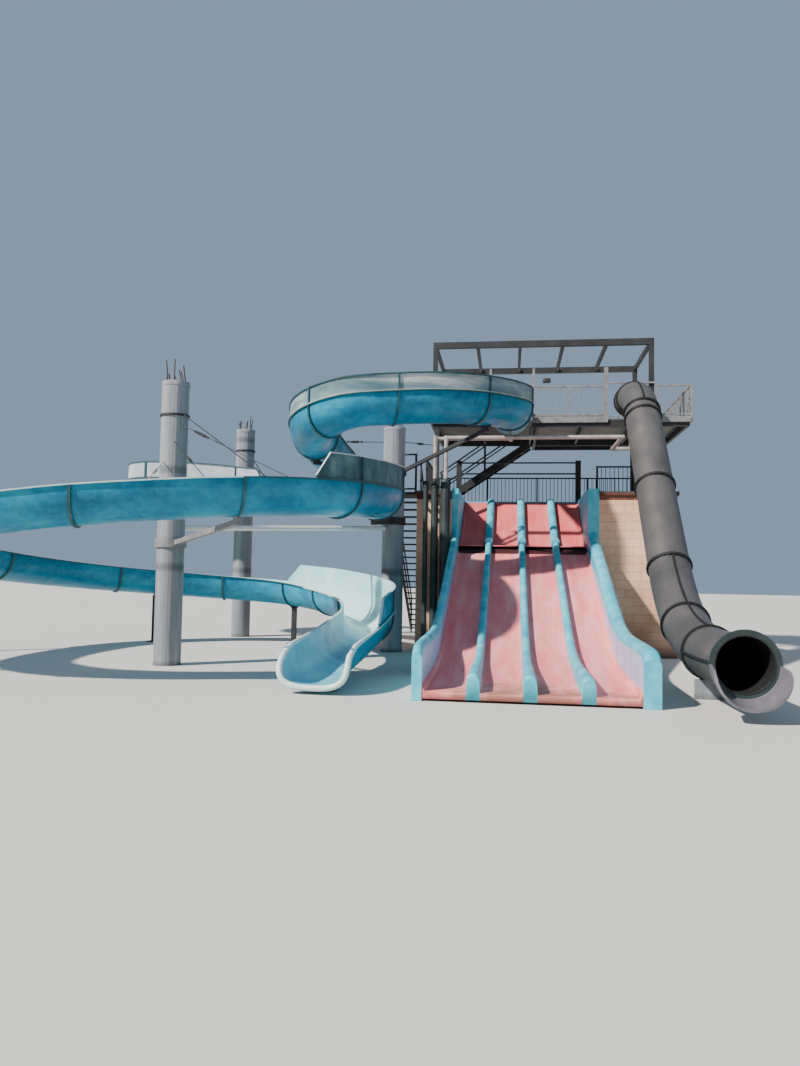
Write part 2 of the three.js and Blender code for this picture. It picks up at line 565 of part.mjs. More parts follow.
function railings() {
  const deck = DECK.top + GAP;
  const { x0, x1, y0, y1 } = DECK;
  const { edge, post } = RAIL;
  const front = y0 - edge;
  const inner = NOTCH.y0 + edge;
  const gate = (x, w) => block(x - w, x + w, front - 28, front + 28, deck - 90, deck + 1350);
  const grab = (from, to) => bar([from, front, deck + 935], [to, front, deck + 935], 40, 40);
  add('platform_railing_west', fuse([
    ...edgeRailing([[NOTCH.x1 - 60, inner], [x0 - edge, inner], [x0 - edge, front], [-840, front]], deck),
    gate(-840, 28), gate(280, 28), gate(2130, 50), grab(-840, 280),
    ...edgeRailing([[280, front], [2130, front]], deck)]), 'galvanised');
  add('platform_railing_east', fuse([
    ...edgeRailing([[3380, front], [x1 + edge, front], [x1 + edge, y1 + edge],
      [NOTCH.x1 + 60, y1 + edge]], deck),
    block(3380 - post, 3380 + post, front - post, front + post, deck, deck + 955),
    grab(2180 + GAP, 3380)]), 'galvanised');
  const top = BASE.top + GAP;
  const back = [[-2500, 5240], [3550, 5240], [3550, 2700], [2060, 2700]];
  add('base_railing', fuse(railing([[-2500, 1400], [-2500, 4350]], top)), 'steel');
  add('base_back_railing', fuse(railing(back, top)), 'steel');
}

// Start gate over the head of the lanes
function startGate() {
  const { left, right, y, top } = GATE;
  const foot = BASE.top + GAP;
  const posts = [left, right].map((x) => block(x - 75, x + 75, y - 60, y + 60, foot, top));
  const rails = [top - 60, top - 380].map((z) => bar([left, y, z], [right, y, z], 40, 40));
  add('start_gate', fuse([...posts, ...rails]), 'steel');
}

// Flight of open treads between two stringers, from a low point to a high one, along X or Y
function flight(low, high, width, treads, ground) {
  const along = new THREE.Vector3(high[0] - low[0], high[1] - low[1], 0);
  const run = along.length();
  along.normalize();
  const side = new THREE.Vector3().crossVectors(up, along);
  const rise = (high[2] - low[2]) / (treads + 1);
  const shapes = [];
  [-1, 1].forEach((s) => {
    const off = side.clone().multiplyScalar((s * (width - 50)) / 2);
    const shift = (p, z) => [p[0] + off.x, p[1] + off.y, z];
    shapes.push(bar(shift(low, low[2] + 20), shift(high, high[2] - 130), 50, 200));
    const rail = (z) => bar(shift(low, low[2] + z), shift(high, high[2] + z - 100), 40, 40);
    shapes.push(rail(950), rail(520));
    [0.02, 0.5, 0.98].forEach((share) => {
      const x = low[0] + (high[0] - low[0]) * share + off.x;
      const y = low[1] + (high[1] - low[1]) * share + off.y;
      const z = low[2] + (high[2] - low[2]) * share;
      const under = share < 0.1 ? ground : z - 100;
      shapes.push(block(x - 22, x + 22, y - 22, y + 22, under, z + 950 - 100 * share));
    });
  });
  for (let i = 1; i <= treads; i++) {
    const place = along.clone().multiplyScalar((run * (i - 0.5)) / treads);
    const centre = [low[0] + place.x, low[1] + place.y, low[2] + rise * i - 20];
    const half = side.clone().multiplyScalar(width / 2 - 10);
    shapes.push(bar([centre[0] - half.x, centre[1] - half.y, centre[2]],
      [centre[0] + half.x, centre[1] + half.y, centre[2]], 240, 40));
  }
  return shapes;
}

function stairs() {
  const { x, near, far, foot, width } = STAIR;
  const top = BASE.top;
  const half = width / 2;
  const landing = block(x - half, x + half, near, far, top - 60, top);
  const legs = [near + 40, far - 40].map((y) => block(x - half, x - half + 60, y - 30, y + 30, 0, top - 20));
  const inset = half - 30;
  const guardLine = [[x + inset, near + 30], [x - inset, near + 30], [x - inset, far - 30]];
  const climb = flight([x, foot, 110], [x, far, top + 40], width, 21, 0);
  add('lower_stair', fuse([...climb, landing, ...legs, ...railing(guardLine, top - 30)]), 'steel');
  const y = (NOTCH.y0 + DECK.y1) / 2 + 20;
  const upper = flight([-2420, y, top + 85], [NOTCH.x1 - 70, y, DECK.top + 30], 700, 11, top + GAP);
  add('upper_stair', fuse(upper), 'steel');
}

// Bracket that holds a riser pipe to the front wall
function bracket(x, y) {
  return block(x - 25, x + 25, y, BASE.y0 - GAP, 3480, 3540);
}

// Riser pipes in front of the base, which feed the start of the two slides above
function pipes() {
  const { y, drain, tube, flume: feed, level, thin, outlet } = PIPES;
  const { tubeX, flumeY } = PIPE_BENDS;
  add('riser_pipe_drain', fuse([rod([drain, y, 0], [drain, y, 4100], 60, 12), bracket(drain, y)]), 'dark');
  const front = DECK.y0 - thin - 2;
  const underTube = TUBE_JOINTS[0].z - TUBE_SEAT - SEAT_GAP;
  add('riser_pipe_tube', fuse([rod([tube, y, 0], [tube, y, 4110], 120, 12), bracket(tube, y),
    rod([tube, y, 4000], [tube, y, level + thin], thin),
    rod([tube - thin, y, level], [tubeX + thin, y, level], thin),
    rod([tubeX, y, level], [tubeX, front, level], thin),
    rod([tubeX - thin, front, level], [TUBE_X + thin, front, level], thin),
    rod([TUBE_X, front, level - thin], [TUBE_X, front, underTube], thin)]), 'galvanised');
  const { point, heading } = flumeFrame(outlet);
  const underFlume = point.z - FLUME_DROP + thin * heading.z - SEAT_GAP;
  add('riser_pipe_flume', fuse([rod([feed, y, 0], [feed, y, 4020], 90, 12), bracket(feed, y),
    rod([feed, y, 3900], [feed, y, level + thin], thin),
    rod([feed, y, level], [feed, flumeY + thin, level], thin),
    rod([feed - thin, flumeY, level], [point.x + thin, flumeY, level], thin),
    rod([point.x, flumeY, level], [point.x, point.y, level], thin),
    rod([point.x, point.y, level - thin], [point.x, point.y, underFlume], thin)]), 'galvanised');
}

blockBase();
laneSlide();
flume();
flumeSupports();
tubeSlide();
platform();
roofFrame();
railings();
startGate();
stairs();
pipes();

export default model;
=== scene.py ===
import math
import random

import bmesh
import bpy
from mathutils import Matrix, Vector


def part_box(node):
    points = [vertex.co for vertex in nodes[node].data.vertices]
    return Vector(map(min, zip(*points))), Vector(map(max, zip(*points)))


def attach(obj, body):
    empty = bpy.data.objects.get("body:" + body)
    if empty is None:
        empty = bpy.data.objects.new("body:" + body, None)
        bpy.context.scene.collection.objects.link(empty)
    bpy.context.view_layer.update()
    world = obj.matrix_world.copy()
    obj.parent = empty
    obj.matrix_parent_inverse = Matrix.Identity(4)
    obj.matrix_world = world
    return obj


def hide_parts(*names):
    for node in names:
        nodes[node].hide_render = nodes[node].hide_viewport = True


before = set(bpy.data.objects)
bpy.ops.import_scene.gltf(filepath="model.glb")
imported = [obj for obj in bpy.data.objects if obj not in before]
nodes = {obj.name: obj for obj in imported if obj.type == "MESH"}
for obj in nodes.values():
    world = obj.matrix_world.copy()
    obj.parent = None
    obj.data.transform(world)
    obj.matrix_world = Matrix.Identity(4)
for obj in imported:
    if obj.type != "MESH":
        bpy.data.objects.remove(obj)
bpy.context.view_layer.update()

# Camera: at standing height about 12 m in front of the foot of the lanes, turned a little to the left
# and tilted up. The outer loops of the flume reach past the left edge of its tall frame.
CAMERA_PLACE = (-0.334, -19.725, 1.772)
TURNED_LEFT = math.radians(7.70)
TILTED_UP = math.radians(93.20)
ROLLED = math.radians(1.01)
camera_data = bpy.data.cameras.new("camera")
camera_data.sensor_fit = "VERTICAL"
camera_data.sensor_height = 36.0
camera_data.lens = 27.13
camera_data.clip_end = 500.0
camera = bpy.data.objects.new("camera", camera_data)
camera_turn = (Matrix.Rotation(TURNED_LEFT, 4, "Z") @ Matrix.Rotation(TILTED_UP, 4, "X")
               @ Matrix.Rotation(ROLLED, 4, "Z"))
camera.matrix_world = Matrix.Translation(CAMERA_PLACE) @ camera_turn
bpy.context.collection.objects.link(camera)
bpy.context.scene.camera = camera


# Block base: four walls of split-faced beige concrete block laid in 0.20 m courses, with a red brick
# course under a thin dark coping. The deck slab behind the coping is worn concrete.
def colour(red, green, blue):
    """A colour picked as 0 to 255 on screen, as the shader's own scene-linear value."""
    def linear(part):
        part = part / 255
        return part / 12.92 if part <= 0.04045 else ((part + 0.055) / 1.055) ** 2.4
    return (linear(red), linear(green), linear(blue), 1.0)


class Finish:
    """A material being mixed: its node tree, its main shader and the place on the piece."""

    def __init__(self, name, roughness=0.6, metallic=0.0):
        self.material = bpy.data.materials.new(name)
        self.material.use_nodes = True
        self.tree = self.material.node_tree
        self.shader = self.tree.nodes["Principled BSDF"]
        self.shader.inputs["Roughness"].default_value = roughness
        self.shader.inputs["Metallic"].default_value = metallic
        self.place = self.tree.nodes.new("ShaderNodeTexCoord").outputs["Object"]

    def node(self, kind, **inputs):
        made = self.tree.nodes.new("ShaderNode" + kind)
        for key, value in inputs.items():
            slot = made.inputs[key.replace("_", " ")]
            if isinstance(value, bpy.types.NodeSocket):
                self.tree.links.new(value, slot)
            else:
                slot.default_value = value
        return made

    def stretch(self, x, y, z):
        return self.node("Mapping", Vector=self.place, Scale=(x, y, z)).outputs["Vector"]

    def cloud(self, size, place=None, detail=6.0, roughness=0.6):
        """Soft patches, about size metres across."""
        made = self.node("TexNoise", Vector=place or self.place, Scale=1 / size, Detail=detail,
                         Roughness=roughness)
        return made.outputs["Fac"]

    def ramp(self, value, *stops):
        made = self.node("ValToRGB", Fac=value)
        row = made.color_ramp.elements
        while len(row) < len(stops):
            row.new(0.5)
        for element, (at, shade) in zip(row, stops):
            element.position = at
            element.color = shade if len(shade) == 4 else (*shade, 1.0)
        return made.outputs["Color"]

    def mix(self, value, first, second, blend="MIX"):
        made = self.tree.nodes.new("ShaderNodeMix")
        made.data_type = "RGBA"
        made.blend_type = blend
        for slot, given in ((0, value), (6, first), (7, second)):
            if isinstance(given, bpy.types.NodeSocket):
                self.tree.links.new(given, made.inputs[slot])
            else:
                made.inputs[slot].default_value = given
        return made.outputs[2]

    def sum(self, kind, first, second=0.0):
        made = self.tree.nodes.new("ShaderNodeMath")
        made.operation = kind
        for slot, given in ((0, first), (1, second)):
            if isinstance(given, bpy.types.NodeSocket):
                self.tree.links.new(given, made.inputs[slot])
            else:
                made.inputs[slot].default_value = given
        return made.outputs[0]

    def axis(self, letter):
        return self.node("SeparateXYZ", Vector=self.place).outputs[letter]

    def paint(self, shade):
        self.tree.links.new(shade, self.shader.inputs["Base Color"])
        return self

    def gloss(self, value, low, high):
        made = self.ramp(value, (0.3, (low, low, low)), (0.7, (high, high, high)))
        self.tree.links.new(made, self.shader.inputs["Roughness"])
        return self

    def bump(self, height, strength=0.3, distance=0.01):
        made = self.node("Bump", Height=height, Strength=strength, Distance=distance)
        self.tree.links.new(made.outputs["Normal"], self.shader.inputs["Normal"])
        return self


BLACK = (0.0, 0.0, 0.0, 1.0)
WHITE = (1.0, 1.0, 1.0, 1.0)
BLOCK_LENGTH = 0.4
BLOCK_COURSE = 0.2
BRICK_LENGTH = 0.24
BRICK_COURSE = 0.1
BRICKS_FROM = 3.72
COPING_FROM = 3.885
DARKER_BELOW = 0.35


def blockwork(name, turn):
    """Blocks in half bond with bricks above; turn brings the wall's face into the pattern's plane."""
    finish = Finish(name, roughness=0.9)
    flat = finish.node("Mapping", Vector=finish.place, Rotation=turn).outputs["Vector"]
    bond = finish.node("TexBrick", Vector=flat, Color1=colour(255, 206, 176), Color2=colour(246, 192, 162),
                       Mortar=colour(208, 162, 136), Scale=1.0, Mortar_Size=0.005, Mortar_Smooth=0.4,
                       Bias=-0.1, Brick_Width=BLOCK_LENGTH, Row_Height=BLOCK_COURSE)
    stain = finish.ramp(finish.cloud(1.7), (0.35, colour(255, 255, 255)), (0.75, colour(196, 182, 168)))
    shade = finish.mix(1.0, bond.outputs["Color"], stain, "MULTIPLY")
    # The blocks are painted darker towards the bottom of the wall, fading out 0.35 m up.
    foot = finish.ramp(finish.axis("Z"), (0.0, colour(120, 112, 104)), (DARKER_BELOW, WHITE))
    shade = finish.mix(1.0, shade, foot, "MULTIPLY")
    rows = finish.node("TexBrick", Vector=flat, Color1=colour(122, 64, 50), Color2=colour(88, 48, 40),
                       Mortar=colour(126, 100, 86), Scale=1.0, Mortar_Size=0.008, Brick_Width=BRICK_LENGTH,
                       Row_Height=BRICK_COURSE)
    is_brick = finish.sum("GREATER_THAN", finish.axis("Z"), BRICKS_FROM)
    finish.paint(finish.mix(is_brick, shade, rows.outputs["Color"]))
    joints = finish.sum("MULTIPLY", bond.outputs["Fac"], -1.0)
    split = finish.sum("MULTIPLY", finish.cloud(0.03), 0.7)
    return finish.bump(finish.sum("ADD", joints, split), 0.7, 0.008).material


def dress(name, *materials):
    """A CAD node keeps its shape and gets its real finish."""
    slots = nodes[name].data.materials
    slots.clear()
    for material in materials:
        slots.append(material)


QUARTER_BACK = math.radians(-90)
block_face = blockwork("split block, front and back", (QUARTER_BACK, 0, 0))
block_side = blockwork("split block, sides", (QUARTER_BACK, QUARTER_BACK, 0))
for wall in ("base_front_wall", "base_back_wall"):
    dress(wall, block_face)
for wall in ("base_left_wall", "base_right_wall"):
    dress(wall, block_side)

coping = Finish("brick course and coping", roughness=0.85)
course = coping.ramp(coping.cloud(0.11), (0.3, colour(76, 42, 36)), (0.7, colour(106, 60, 48)))
over = coping.ramp(coping.cloud(0.5), (0.3, colour(58, 54, 50)), (0.7, colour(86, 82, 76)))
is_coping = coping.sum("GREATER_THAN", coping.axis("Z"), COPING_FROM)
coping.paint(coping.mix(is_coping, course, over))
coping.bump(coping.cloud(0.04), 0.4, 0.006)
dress("base_deck", coping.material)


# Four-lane slide: one fibreglass moulding whose lanes are faded pink and whose rounded dividers are
# cyan, laid on the slope in an upper and a lower length. Where they meet, the lower length's start is
# painted dark, as dirt and as painted shade under the step.
def piece(name, mesh, slot, *replaced):
    """A finished mesh becomes a piece of the tower, standing for the CAD nodes it replaces."""
    made = bpy.data.objects.new(name, mesh)
    bpy.context.collection.objects.link(made)
    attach(made, "root")
    if replaced:
        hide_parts(*replaced)
    return made


def sweep(outline, stations, place, parts=None, closed=True, capped=True):
    """Draws an outline out through its stations; place(k, point, station) says where a point goes."""
    shape = bmesh.new()
    rank = shape.verts.layers.int.new("rank")
    ring = []
    for k, point in enumerate(outline):
        vert = shape.verts.new(place(k, point, stations[0]))
        vert[rank] = k
        ring.append(vert)
    pairs = list(zip(ring, ring[1:])) + ([(ring[-1], ring[0])] if closed else [])
    edges = [shape.edges.new(pair) for pair in pairs]
    ends = [list(edges)]
    for station in stations[1:]:
        grown = bmesh.ops.extrude_edge_only(shape, edges=edges)["geom"]
        for item in grown:
            if isinstance(item, bmesh.types.BMVert):
                item.co = place(item[rank], outline[item[rank]], station)
            elif isinstance(item, bmesh.types.BMFace) and parts:
                ranks = sorted({vert[rank] for vert in item.verts})
                wraps = closed and ranks[0] == 0 and ranks[-1] == len(outline) - 1 and len(outline) > 2
                item.material_index = parts[ranks[-1] if wraps else ranks[0]]
        edges = [item for item in grown if isinstance(item, bmesh.types.BMEdge)
                 and all(vert in grown for vert in item.verts)]
    ends.append(list(edges))
    if closed and capped:
        for end in ends:
            for cap in bmesh.ops.contextual_create(shape, geom=end)["faces"]:
                cap.material_index = 0
        bmesh.ops.recalc_face_normals(shape, faces=shape.faces[:])
    return shape


def settle(shape, name, *materials, smooth=True, angle=35):
    """The finished shape as a mesh, with soft shading up to a crease angle."""
    mesh = bpy.data.meshes.new(name)
    for face in shape.faces:
        face.smooth = smooth
    for edge in shape.edges:
        if len(edge.link_faces) == 2 and edge.calc_face_angle(0.0) > math.radians(angle):
            edge.smooth = False
    shape.to_mesh(mesh)
    shape.free()
    for material in materials:
        mesh.materials.append(material)
    return mesh


LANES_HALF = 1.56
LANE_PITCH = 0.82
FILLET_WIDE = 0.05
FILLET_RISE = 0.07
DIVIDER_FOOT = 0.125
DIVIDER_TOE = (0.09, 0.015)
DIVIDER_SIDE = (0.082, 0.13)
DIVIDER_HALF = 0.08
DIVIDER_RISE = 0.14
DIVIDER_DOME = 0.055
DOME_STEPS = 6
PINK_PART = 0
CYAN_PART = 1
LANE_FLOOR = [(0.42, 2.56), (-1.1, 1.915), (-2.6, 1.28), (-4.0, 0.715), (-5.1, 0.37), (-6.4, 0.205),
              (-8.0, 0.14)]


def spline(points, t):
    """A point on the smooth curve through all points, t counted in points."""
    low = min(max(int(math.floor(t)), 0), len(points) - 2)
    w = t - low
    near = [Vector(points[k]) for k in (max(low - 1, 0), low, low + 1, min(low + 2, len(points) - 1))]
    if low == 0:
        near[0] = 2 * near[1] - near[2]
    if low == len(points) - 2:
        near[3] = 2 * near[2] - near[1]
    start, end = (near[2] - near[0]) / 2, (near[3] - near[1]) / 2
    return (near[1] * (2 * w ** 3 - 3 * w ** 2 + 1) + start * (w ** 3 - 2 * w ** 2 + w)
            + near[2] * (3 * w ** 2 - 2 * w ** 3) + end * (w ** 3 - w ** 2))


def lane_outline():
    """Across the slide: x and rise from a divider's middle, that middle, and which colour follows."""
    edge = LANES_HALF - 0.001
    row = [(-edge, FILLET_RISE, 0.0, PINK_PART), (-LANES_HALF + FILLET_WIDE, 0.0, 0.0, PINK_PART)]
    for k in (-1, 0, 1):
        middle = k * LANE_PITCH
        row.append((-DIVIDER_FOOT, 0.0, middle, PINK_PART))
        row.append((-DIVIDER_TOE[0], DIVIDER_TOE[1], middle, CYAN_PART))
        row.append((-DIVIDER_SIDE[0], DIVIDER_SIDE[1], middle, CYAN_PART))
        for step in range(DOME_STEPS + 1):
            angle = math.pi * (1 - step / DOME_STEPS)
            rise = DIVIDER_RISE + DIVIDER_DOME * math.sin(angle)
            row.append((DIVIDER_HALF * math.cos(angle), rise, middle, CYAN_PART))
        row.append((*DIVIDER_SIDE, middle, CYAN_PART))
        row.append((*DIVIDER_TOE, middle, PINK_PART))
        row.append((DIVIDER_FOOT, 0.0, middle, PINK_PART))
    row += [(LANES_HALF - FILLET_WIDE, 0.0, 0.0, PINK_PART), (edge, FILLET_RISE, 0.0, PINK_PART)]
    return row


UPPER_FROM = 2.6
HEAD_FROM = 3.93
STEP_BEHIND = 0.05
DIRT_FROM = 8.0
DIRT_FULL = 8.9

faded_pink = Finish("faded pink gelcoat", roughness=0.55)
lane_streaks = faded_pink.cloud(0.5, faded_pink.stretch(2.4, 0.35, 0.35))
lower_shade = faded_pink.ramp(lane_streaks, (0.25, colour(242, 108, 114)), (0.5, colour(255, 142, 144)),
                              (0.75, colour(255, 178, 176)))
upper_shade = faded_pink.ramp(lane_streaks, (0.3, colour(232, 84, 88)), (0.7, colour(246, 122, 120)))
is_upper = faded_pink.sum("GREATER_THAN", faded_pink.axis("Z"), UPPER_FROM)
lane_shade = faded_pink.mix(is_upper, lower_shade, upper_shade)
scuffs = faded_pink.ramp(faded_pink.cloud(0.9), (0.42, BLACK), (0.72, WHITE))
lane_shade = faded_pink.mix(faded_pink.sum("MULTIPLY", scuffs, 0.3), lane_shade, colour(226, 164, 158))
marks = faded_pink.ramp(faded_pink.cloud(0.28, detail=8.0), (0.6, BLACK), (0.74, WHITE))
lane_shade = faded_pink.mix(faded_pink.sum("MULTIPLY", marks, 0.3), lane_shade, colour(150, 84, 78))


def reach(finish, value, start, stop, most):
    """Grows from nothing to most while the value goes from start to stop."""
    made = finish.node("MapRange", Value=value)
    for key, number in (("From Min", start), ("From Max", stop), ("To Min", 0.0), ("To Max", most)):
        made.inputs[key].default_value = number
    return made.outputs["Result"]


forwards = faded_pink.sum("MULTIPLY", faded_pink.axis("Y"), -1.0)
patchy = faded_pink.sum("ADD", forwards, faded_pink.sum("MULTIPLY", faded_pink.cloud(0.35), 2.6))
outwards = faded_pink.sum("MULTIPLY", faded_pink.sum("ABSOLUTE", faded_pink.axis("X")), -0.7)
patchy = faded_pink.sum("ADD", patchy, outwards)
dirt = reach(faded_pink, patchy, DIRT_FROM, DIRT_FULL, 0.75)
lane_shade = faded_pink.mix(dirt, lane_shade, colour(138, 98, 78))
# Painted shade and dirt: below the step, the start of the lower lanes is painted near black.
step_shade_and_dirt = faded_pink.sum("MULTIPLY", faded_pink.sum("LESS_THAN", faded_pink.axis("Z"), UPPER_FROM),
                         faded_pink.sum("GREATER_THAN", faded_pink.axis("Y"), STEP_BEHIND))
lane_shade = faded_pink.mix(step_shade_and_dirt, lane_shade, colour(70, 34, 38))
is_head = faded_pink.sum("GREATER_THAN", faded_pink.axis("Z"), HEAD_FROM)
lane_shade = faded_pink.mix(is_head, lane_shade, colour(88, 178, 200))
faded_pink.paint(lane_shade).gloss(faded_pink.cloud(0.4), 0.4, 0.7).bump(faded_pink.cloud(0.25), 0.25, 0.01)

worn_cyan = Finish("worn cyan gelcoat", roughness=0.45)
cyan_shade = worn_cyan.ramp(worn_cyan.cloud(0.35), (0.3, colour(44, 160, 190)), (0.55, colour(84, 196, 214)),
                            (0.8, colour(146, 220, 226)))
chips = worn_cyan.ramp(worn_cyan.cloud(0.06), (0.62, BLACK), (0.72, WHITE))
cyan_shade = worn_cyan.mix(worn_cyan.sum("MULTIPLY", chips, 0.5), cyan_shade, colour(190, 218, 216))
worn_cyan.paint(cyan_shade).gloss(worn_cyan.cloud(0.2), 0.3, 0.6).bump(worn_cyan.cloud(0.12), 0.2, 0.006)

across = lane_outline()
lane_parts = [part for _, _, _, part in across]
FOOT_TURN = [(0.012, 0.004), (0.022, 0.013), (0.03, 0.035), (0.03, 9.0)]
LANE_WALL = 0.03
LOWEST = LANE_WALL + 0.004
LOWER_STEPS = 60
SWELL_FROM = 4.3
SWELL_OVER = 1.5
SLIM = 0.86
SWELL_WIDE = 0.26
SWELL_TALL = 0.4


def is_divider(point):
    """Whether a point of the outline stands on a divider, not on a lane or an outer fillet."""
    return point[1] != 0.0 and (point[2] != 0.0 or abs(point[0]) <= 1)


def lower_lane(k, point, station):
    """A station is a place down the slide, a reach forward and a drop; the dividers swell at the foot."""
    t, forward, drop = station
    y, z = spline(LANE_FLOOR, t)
    swell = min(max((t - SWELL_FROM) / SWELL_OVER, 0.0), 1.0)
    swell = swell * swell * (3 - 2 * swell)
    wide = SLIM + SWELL_WIDE * swell if is_divider(point) else 1.0
    rise = point[1] * (1 + SWELL_TALL * swell)
    return (point[2] + point[0] * wide, y - forward, max(z + rise - drop, LOWEST))


def give_thickness(lane_piece):
    """The lanes are swept as a skin, and their wall grows downwards from it."""
    thickness = lane_piece.modifiers.new("wall", "SOLIDIFY")
    thickness.thickness = LANE_WALL
    thickness.offset = -1.0


last = len(LANE_FLOOR) - 1
down_slide = [(t * last / LOWER_STEPS, 0.0, 0.0) for t in range(LOWER_STEPS + 1)]
down_slide += [(last, *turn) for turn in FOOT_TURN]
lanes = sweep(across, down_slide, lower_lane, lane_parts, closed=False)
lane_mesh = settle(lanes, "lower_lanes", faded_pink.material, worn_cyan.material, angle=50)
give_thickness(piece("lower_lanes", lane_mesh, "pink_fibreglass", "slide_lower_lanes"))

UPPER_FLOOR = [(0.345, 2.6), (0.7, 2.62), (1.4, 3.03), (2.15, 3.46), (2.9, 3.88), (3.3, 3.965),
               (3.64, 3.985)]
UPPER_STEPS = 30
UPPER_FOOT = 2.58
UPPER_SLIM = 0.84
RUN_OUT_FROM = 2.7
RUN_OUT_OVER = 0.4
RUN_OUT_SINK = 0.7


def upper_lane(k, point, station):
    """The upper dividers are narrower and run out at the top edge; their near end is closed off."""
    t, drop = station
    y, z = spline(UPPER_FLOOR, t)
    if drop:
        return (point[2] + point[0], y, UPPER_FOOT)
    wide = UPPER_SLIM if is_divider(point) else 1.0
    run_out = min(max((y - RUN_OUT_FROM) / RUN_OUT_OVER, 0.0), 1.0)
    return (point[2] + point[0] * wide, y, z + point[1] * (1 - RUN_OUT_SINK * run_out))


last = len(UPPER_FLOOR) - 1
upper_slide = [(0.0, True)] + [(t * last / UPPER_STEPS, False) for t in range(UPPER_STEPS + 1)]
upper = sweep(across, upper_slide, upper_lane, lane_parts, closed=False)
upper_mesh = settle(upper, "upper_lanes", faded_pink.material, worn_cyan.material, angle=50)
give_thickness(piece("upper_lanes", upper_mesh, "pink_fibreglass", "slide_upper_lanes"))

# Side walls of the slide: hollow cyan mouldings on the ground with a rounded top edge and a paler
# lavender inner face, which follow the lanes down and level out into a broad shoulder at the foot.
LEFT_OUTSIDE = 1.71
RIGHT_OUTSIDE = 1.81
WALL_STEPS = 66
ROUND_FROM = 0.9
WALL_TOP = [(-0.101, 2.96), (-0.35, 2.78), (-1.1, 2.47), (-2.6, 1.84), (-3.6, 1.43), (-4.5, 1.09),
            (-5.15, 0.95), (-5.6, 0.9), (-6.5, 0.87), (-7.5, 0.85), (-7.9, 0.82), (-8.045, 0.7)]


def two_tone(name, patch, first, second, roughness=0.5, metallic=0.0, grain=0.05, strength=0.2, depth=0.004):
    """A finish of two near shades in patches about patch metres across, over a fine uneven surface."""
    finish = Finish(name, roughness, metallic)
    finish.paint(finish.ramp(finish.cloud(patch), (0.3, colour(*first)), (0.7, colour(*second))))
    return finish.bump(finish.cloud(grain), strength, depth)


lavender = two_tone("faded lavender inner face", 0.5, (158, 170, 208), (198, 202, 228), roughness=0.45,
                    grain=0.15, strength=0.15, depth=0.005)


def side_wall(name, inner, outer, node):
    """Inner and outer face in X; across the top the wall is rounded, and its inner face is lavender."""
    half = abs(outer - inner) / 2 * 0.999
    middle = (outer + inner) / 2
    ring = [(-1, 0.0), (-1, 0.5), (-1, 0.86)]
    ring += [(math.cos(math.pi * (1 - s / DOME_STEPS)), 0.9 + 0.1 * math.sin(math.pi * s / DOME_STEPS))
             for s in range(DOME_STEPS + 1)]
    ring += [(1, 0.86), (1, 0.5), (1, 0.0)]
    parts = [1, 1] + [0] * 11 if inner > 0 else [0] * 10 + [1, 1, 0]

    def place(k, point, t):
        y, top = spline(WALL_TOP, t)
        drop = (1.0 - point[1]) * (top if point[1] < ROUND_FROM else ROUND_FROM)
        return (middle + point[0] * half, y, max(top - drop, 0.0))

    last = len(WALL_TOP) - 1
    wall = sweep(ring, [t * last / WALL_STEPS for t in range(WALL_STEPS + 1)], place, parts)
    mesh = settle(wall, name, worn_cyan.material, lavender.material, angle=40)
    piece(name, mesh, "cyan_fibreglass", node)


side_wall("left_side_wall", -LANES_HALF, -LEFT_OUTSIDE, "slide_left_wall")
side_wall("right_side_wall", LANES_HALF, RIGHT_OUTSIDE, "slide_right_wall")
for node in ("slide_upper_left_wall", "slide_upper_right_wall"):
    dress(node, worn_cyan.material)


# Open flume: bolted half-pipe lengths of blue fibreglass a metre wide inside, with a folded rim. The
# outside is deep blue-green, the inside paler; low down towards the back the inside is painted paler
# still as painted sunlight, and nearer it stays bluer as painted shade. The path is the middle between
# the rims, in millimetres.
FLUME_PATH = [
    (-300, 1291.7, 6170), (-300, 200, 6040), (-370, -900, 5920), (-850, -2000, 5790), (-1600, -2700, 5710),
    (-2600, -3100, 5620), (-3600, -3350, 5490), (-4350, -2950, 5310), (-4780, -2000, 5200),
    (-4850, -700, 5080), (-4860, 800, 4980), (-4950, 2300, 4890), (-5300, 3900, 4800), (-6300, 5200, 4730),
    (-7900, 5700, 4670), (-9500, 5300, 4610), (-10800, 4100, 4550), (-11020, 2900, 4500),
    (-10250, 1880, 4440), (-8900, 1600, 4360), (-7500, 1550, 4240), (-6300, 1000, 4100),
    (-5350, -100, 3970), (-4600, -1200, 3840), (-3900, -2000, 3750), (-3200, -2750, 3660),
    (-3000, -3600, 3580), (-3100, -4700, 3500), (-3450, -5700, 3450), (-4050, -6500, 3400),
    (-4900, -7100, 3330), (-6100, -7600, 3215), (-7400, -8000, 3070), (-8800, -8300, 2860),
    (-10300, -8100, 2710), (-11500, -7100, 2560), (-11900, -5600, 2410), (-11900, -3900, 2260),
    (-11600, -2200, 2110), (-10800, -700, 1970), (-9500, 400, 1850), (-8000, 1000, 1750),
    (-6600, 1150, 1660), (-5500, 750, 1560), (-4650, -250, 1460), (-3950, -1350, 1360),
    (-3400, -2500, 1250), (-3120, -3700, 1130), (-3080, -4900, 1000), (-3120, -6100, 850),
    (-3200, -7200, 710), (-3240, -7850, 645),
]
FLUME_RUNS = {
    "flume_start": (0, 5.15), "flume_upper_turn": (5.15, 9.8), "flume_crossing": (9.8, 15.5),
    "flume_north_bend": (15.5, 20.6), "flume_descent": (20.6, 25.2), "flume_middle_turn": (25.2, 29.87),
    "flume_front_run": (29.87, 37), "flume_return": (37, 43.6), "flume_outlet": (43.6, 51),
}
FLUME_END = len(FLUME_PATH) - 1
FLUME_INSIDE = 0.5
FLUME_OUTSIDE = 0.515
RIM_OUTSIDE = 0.556
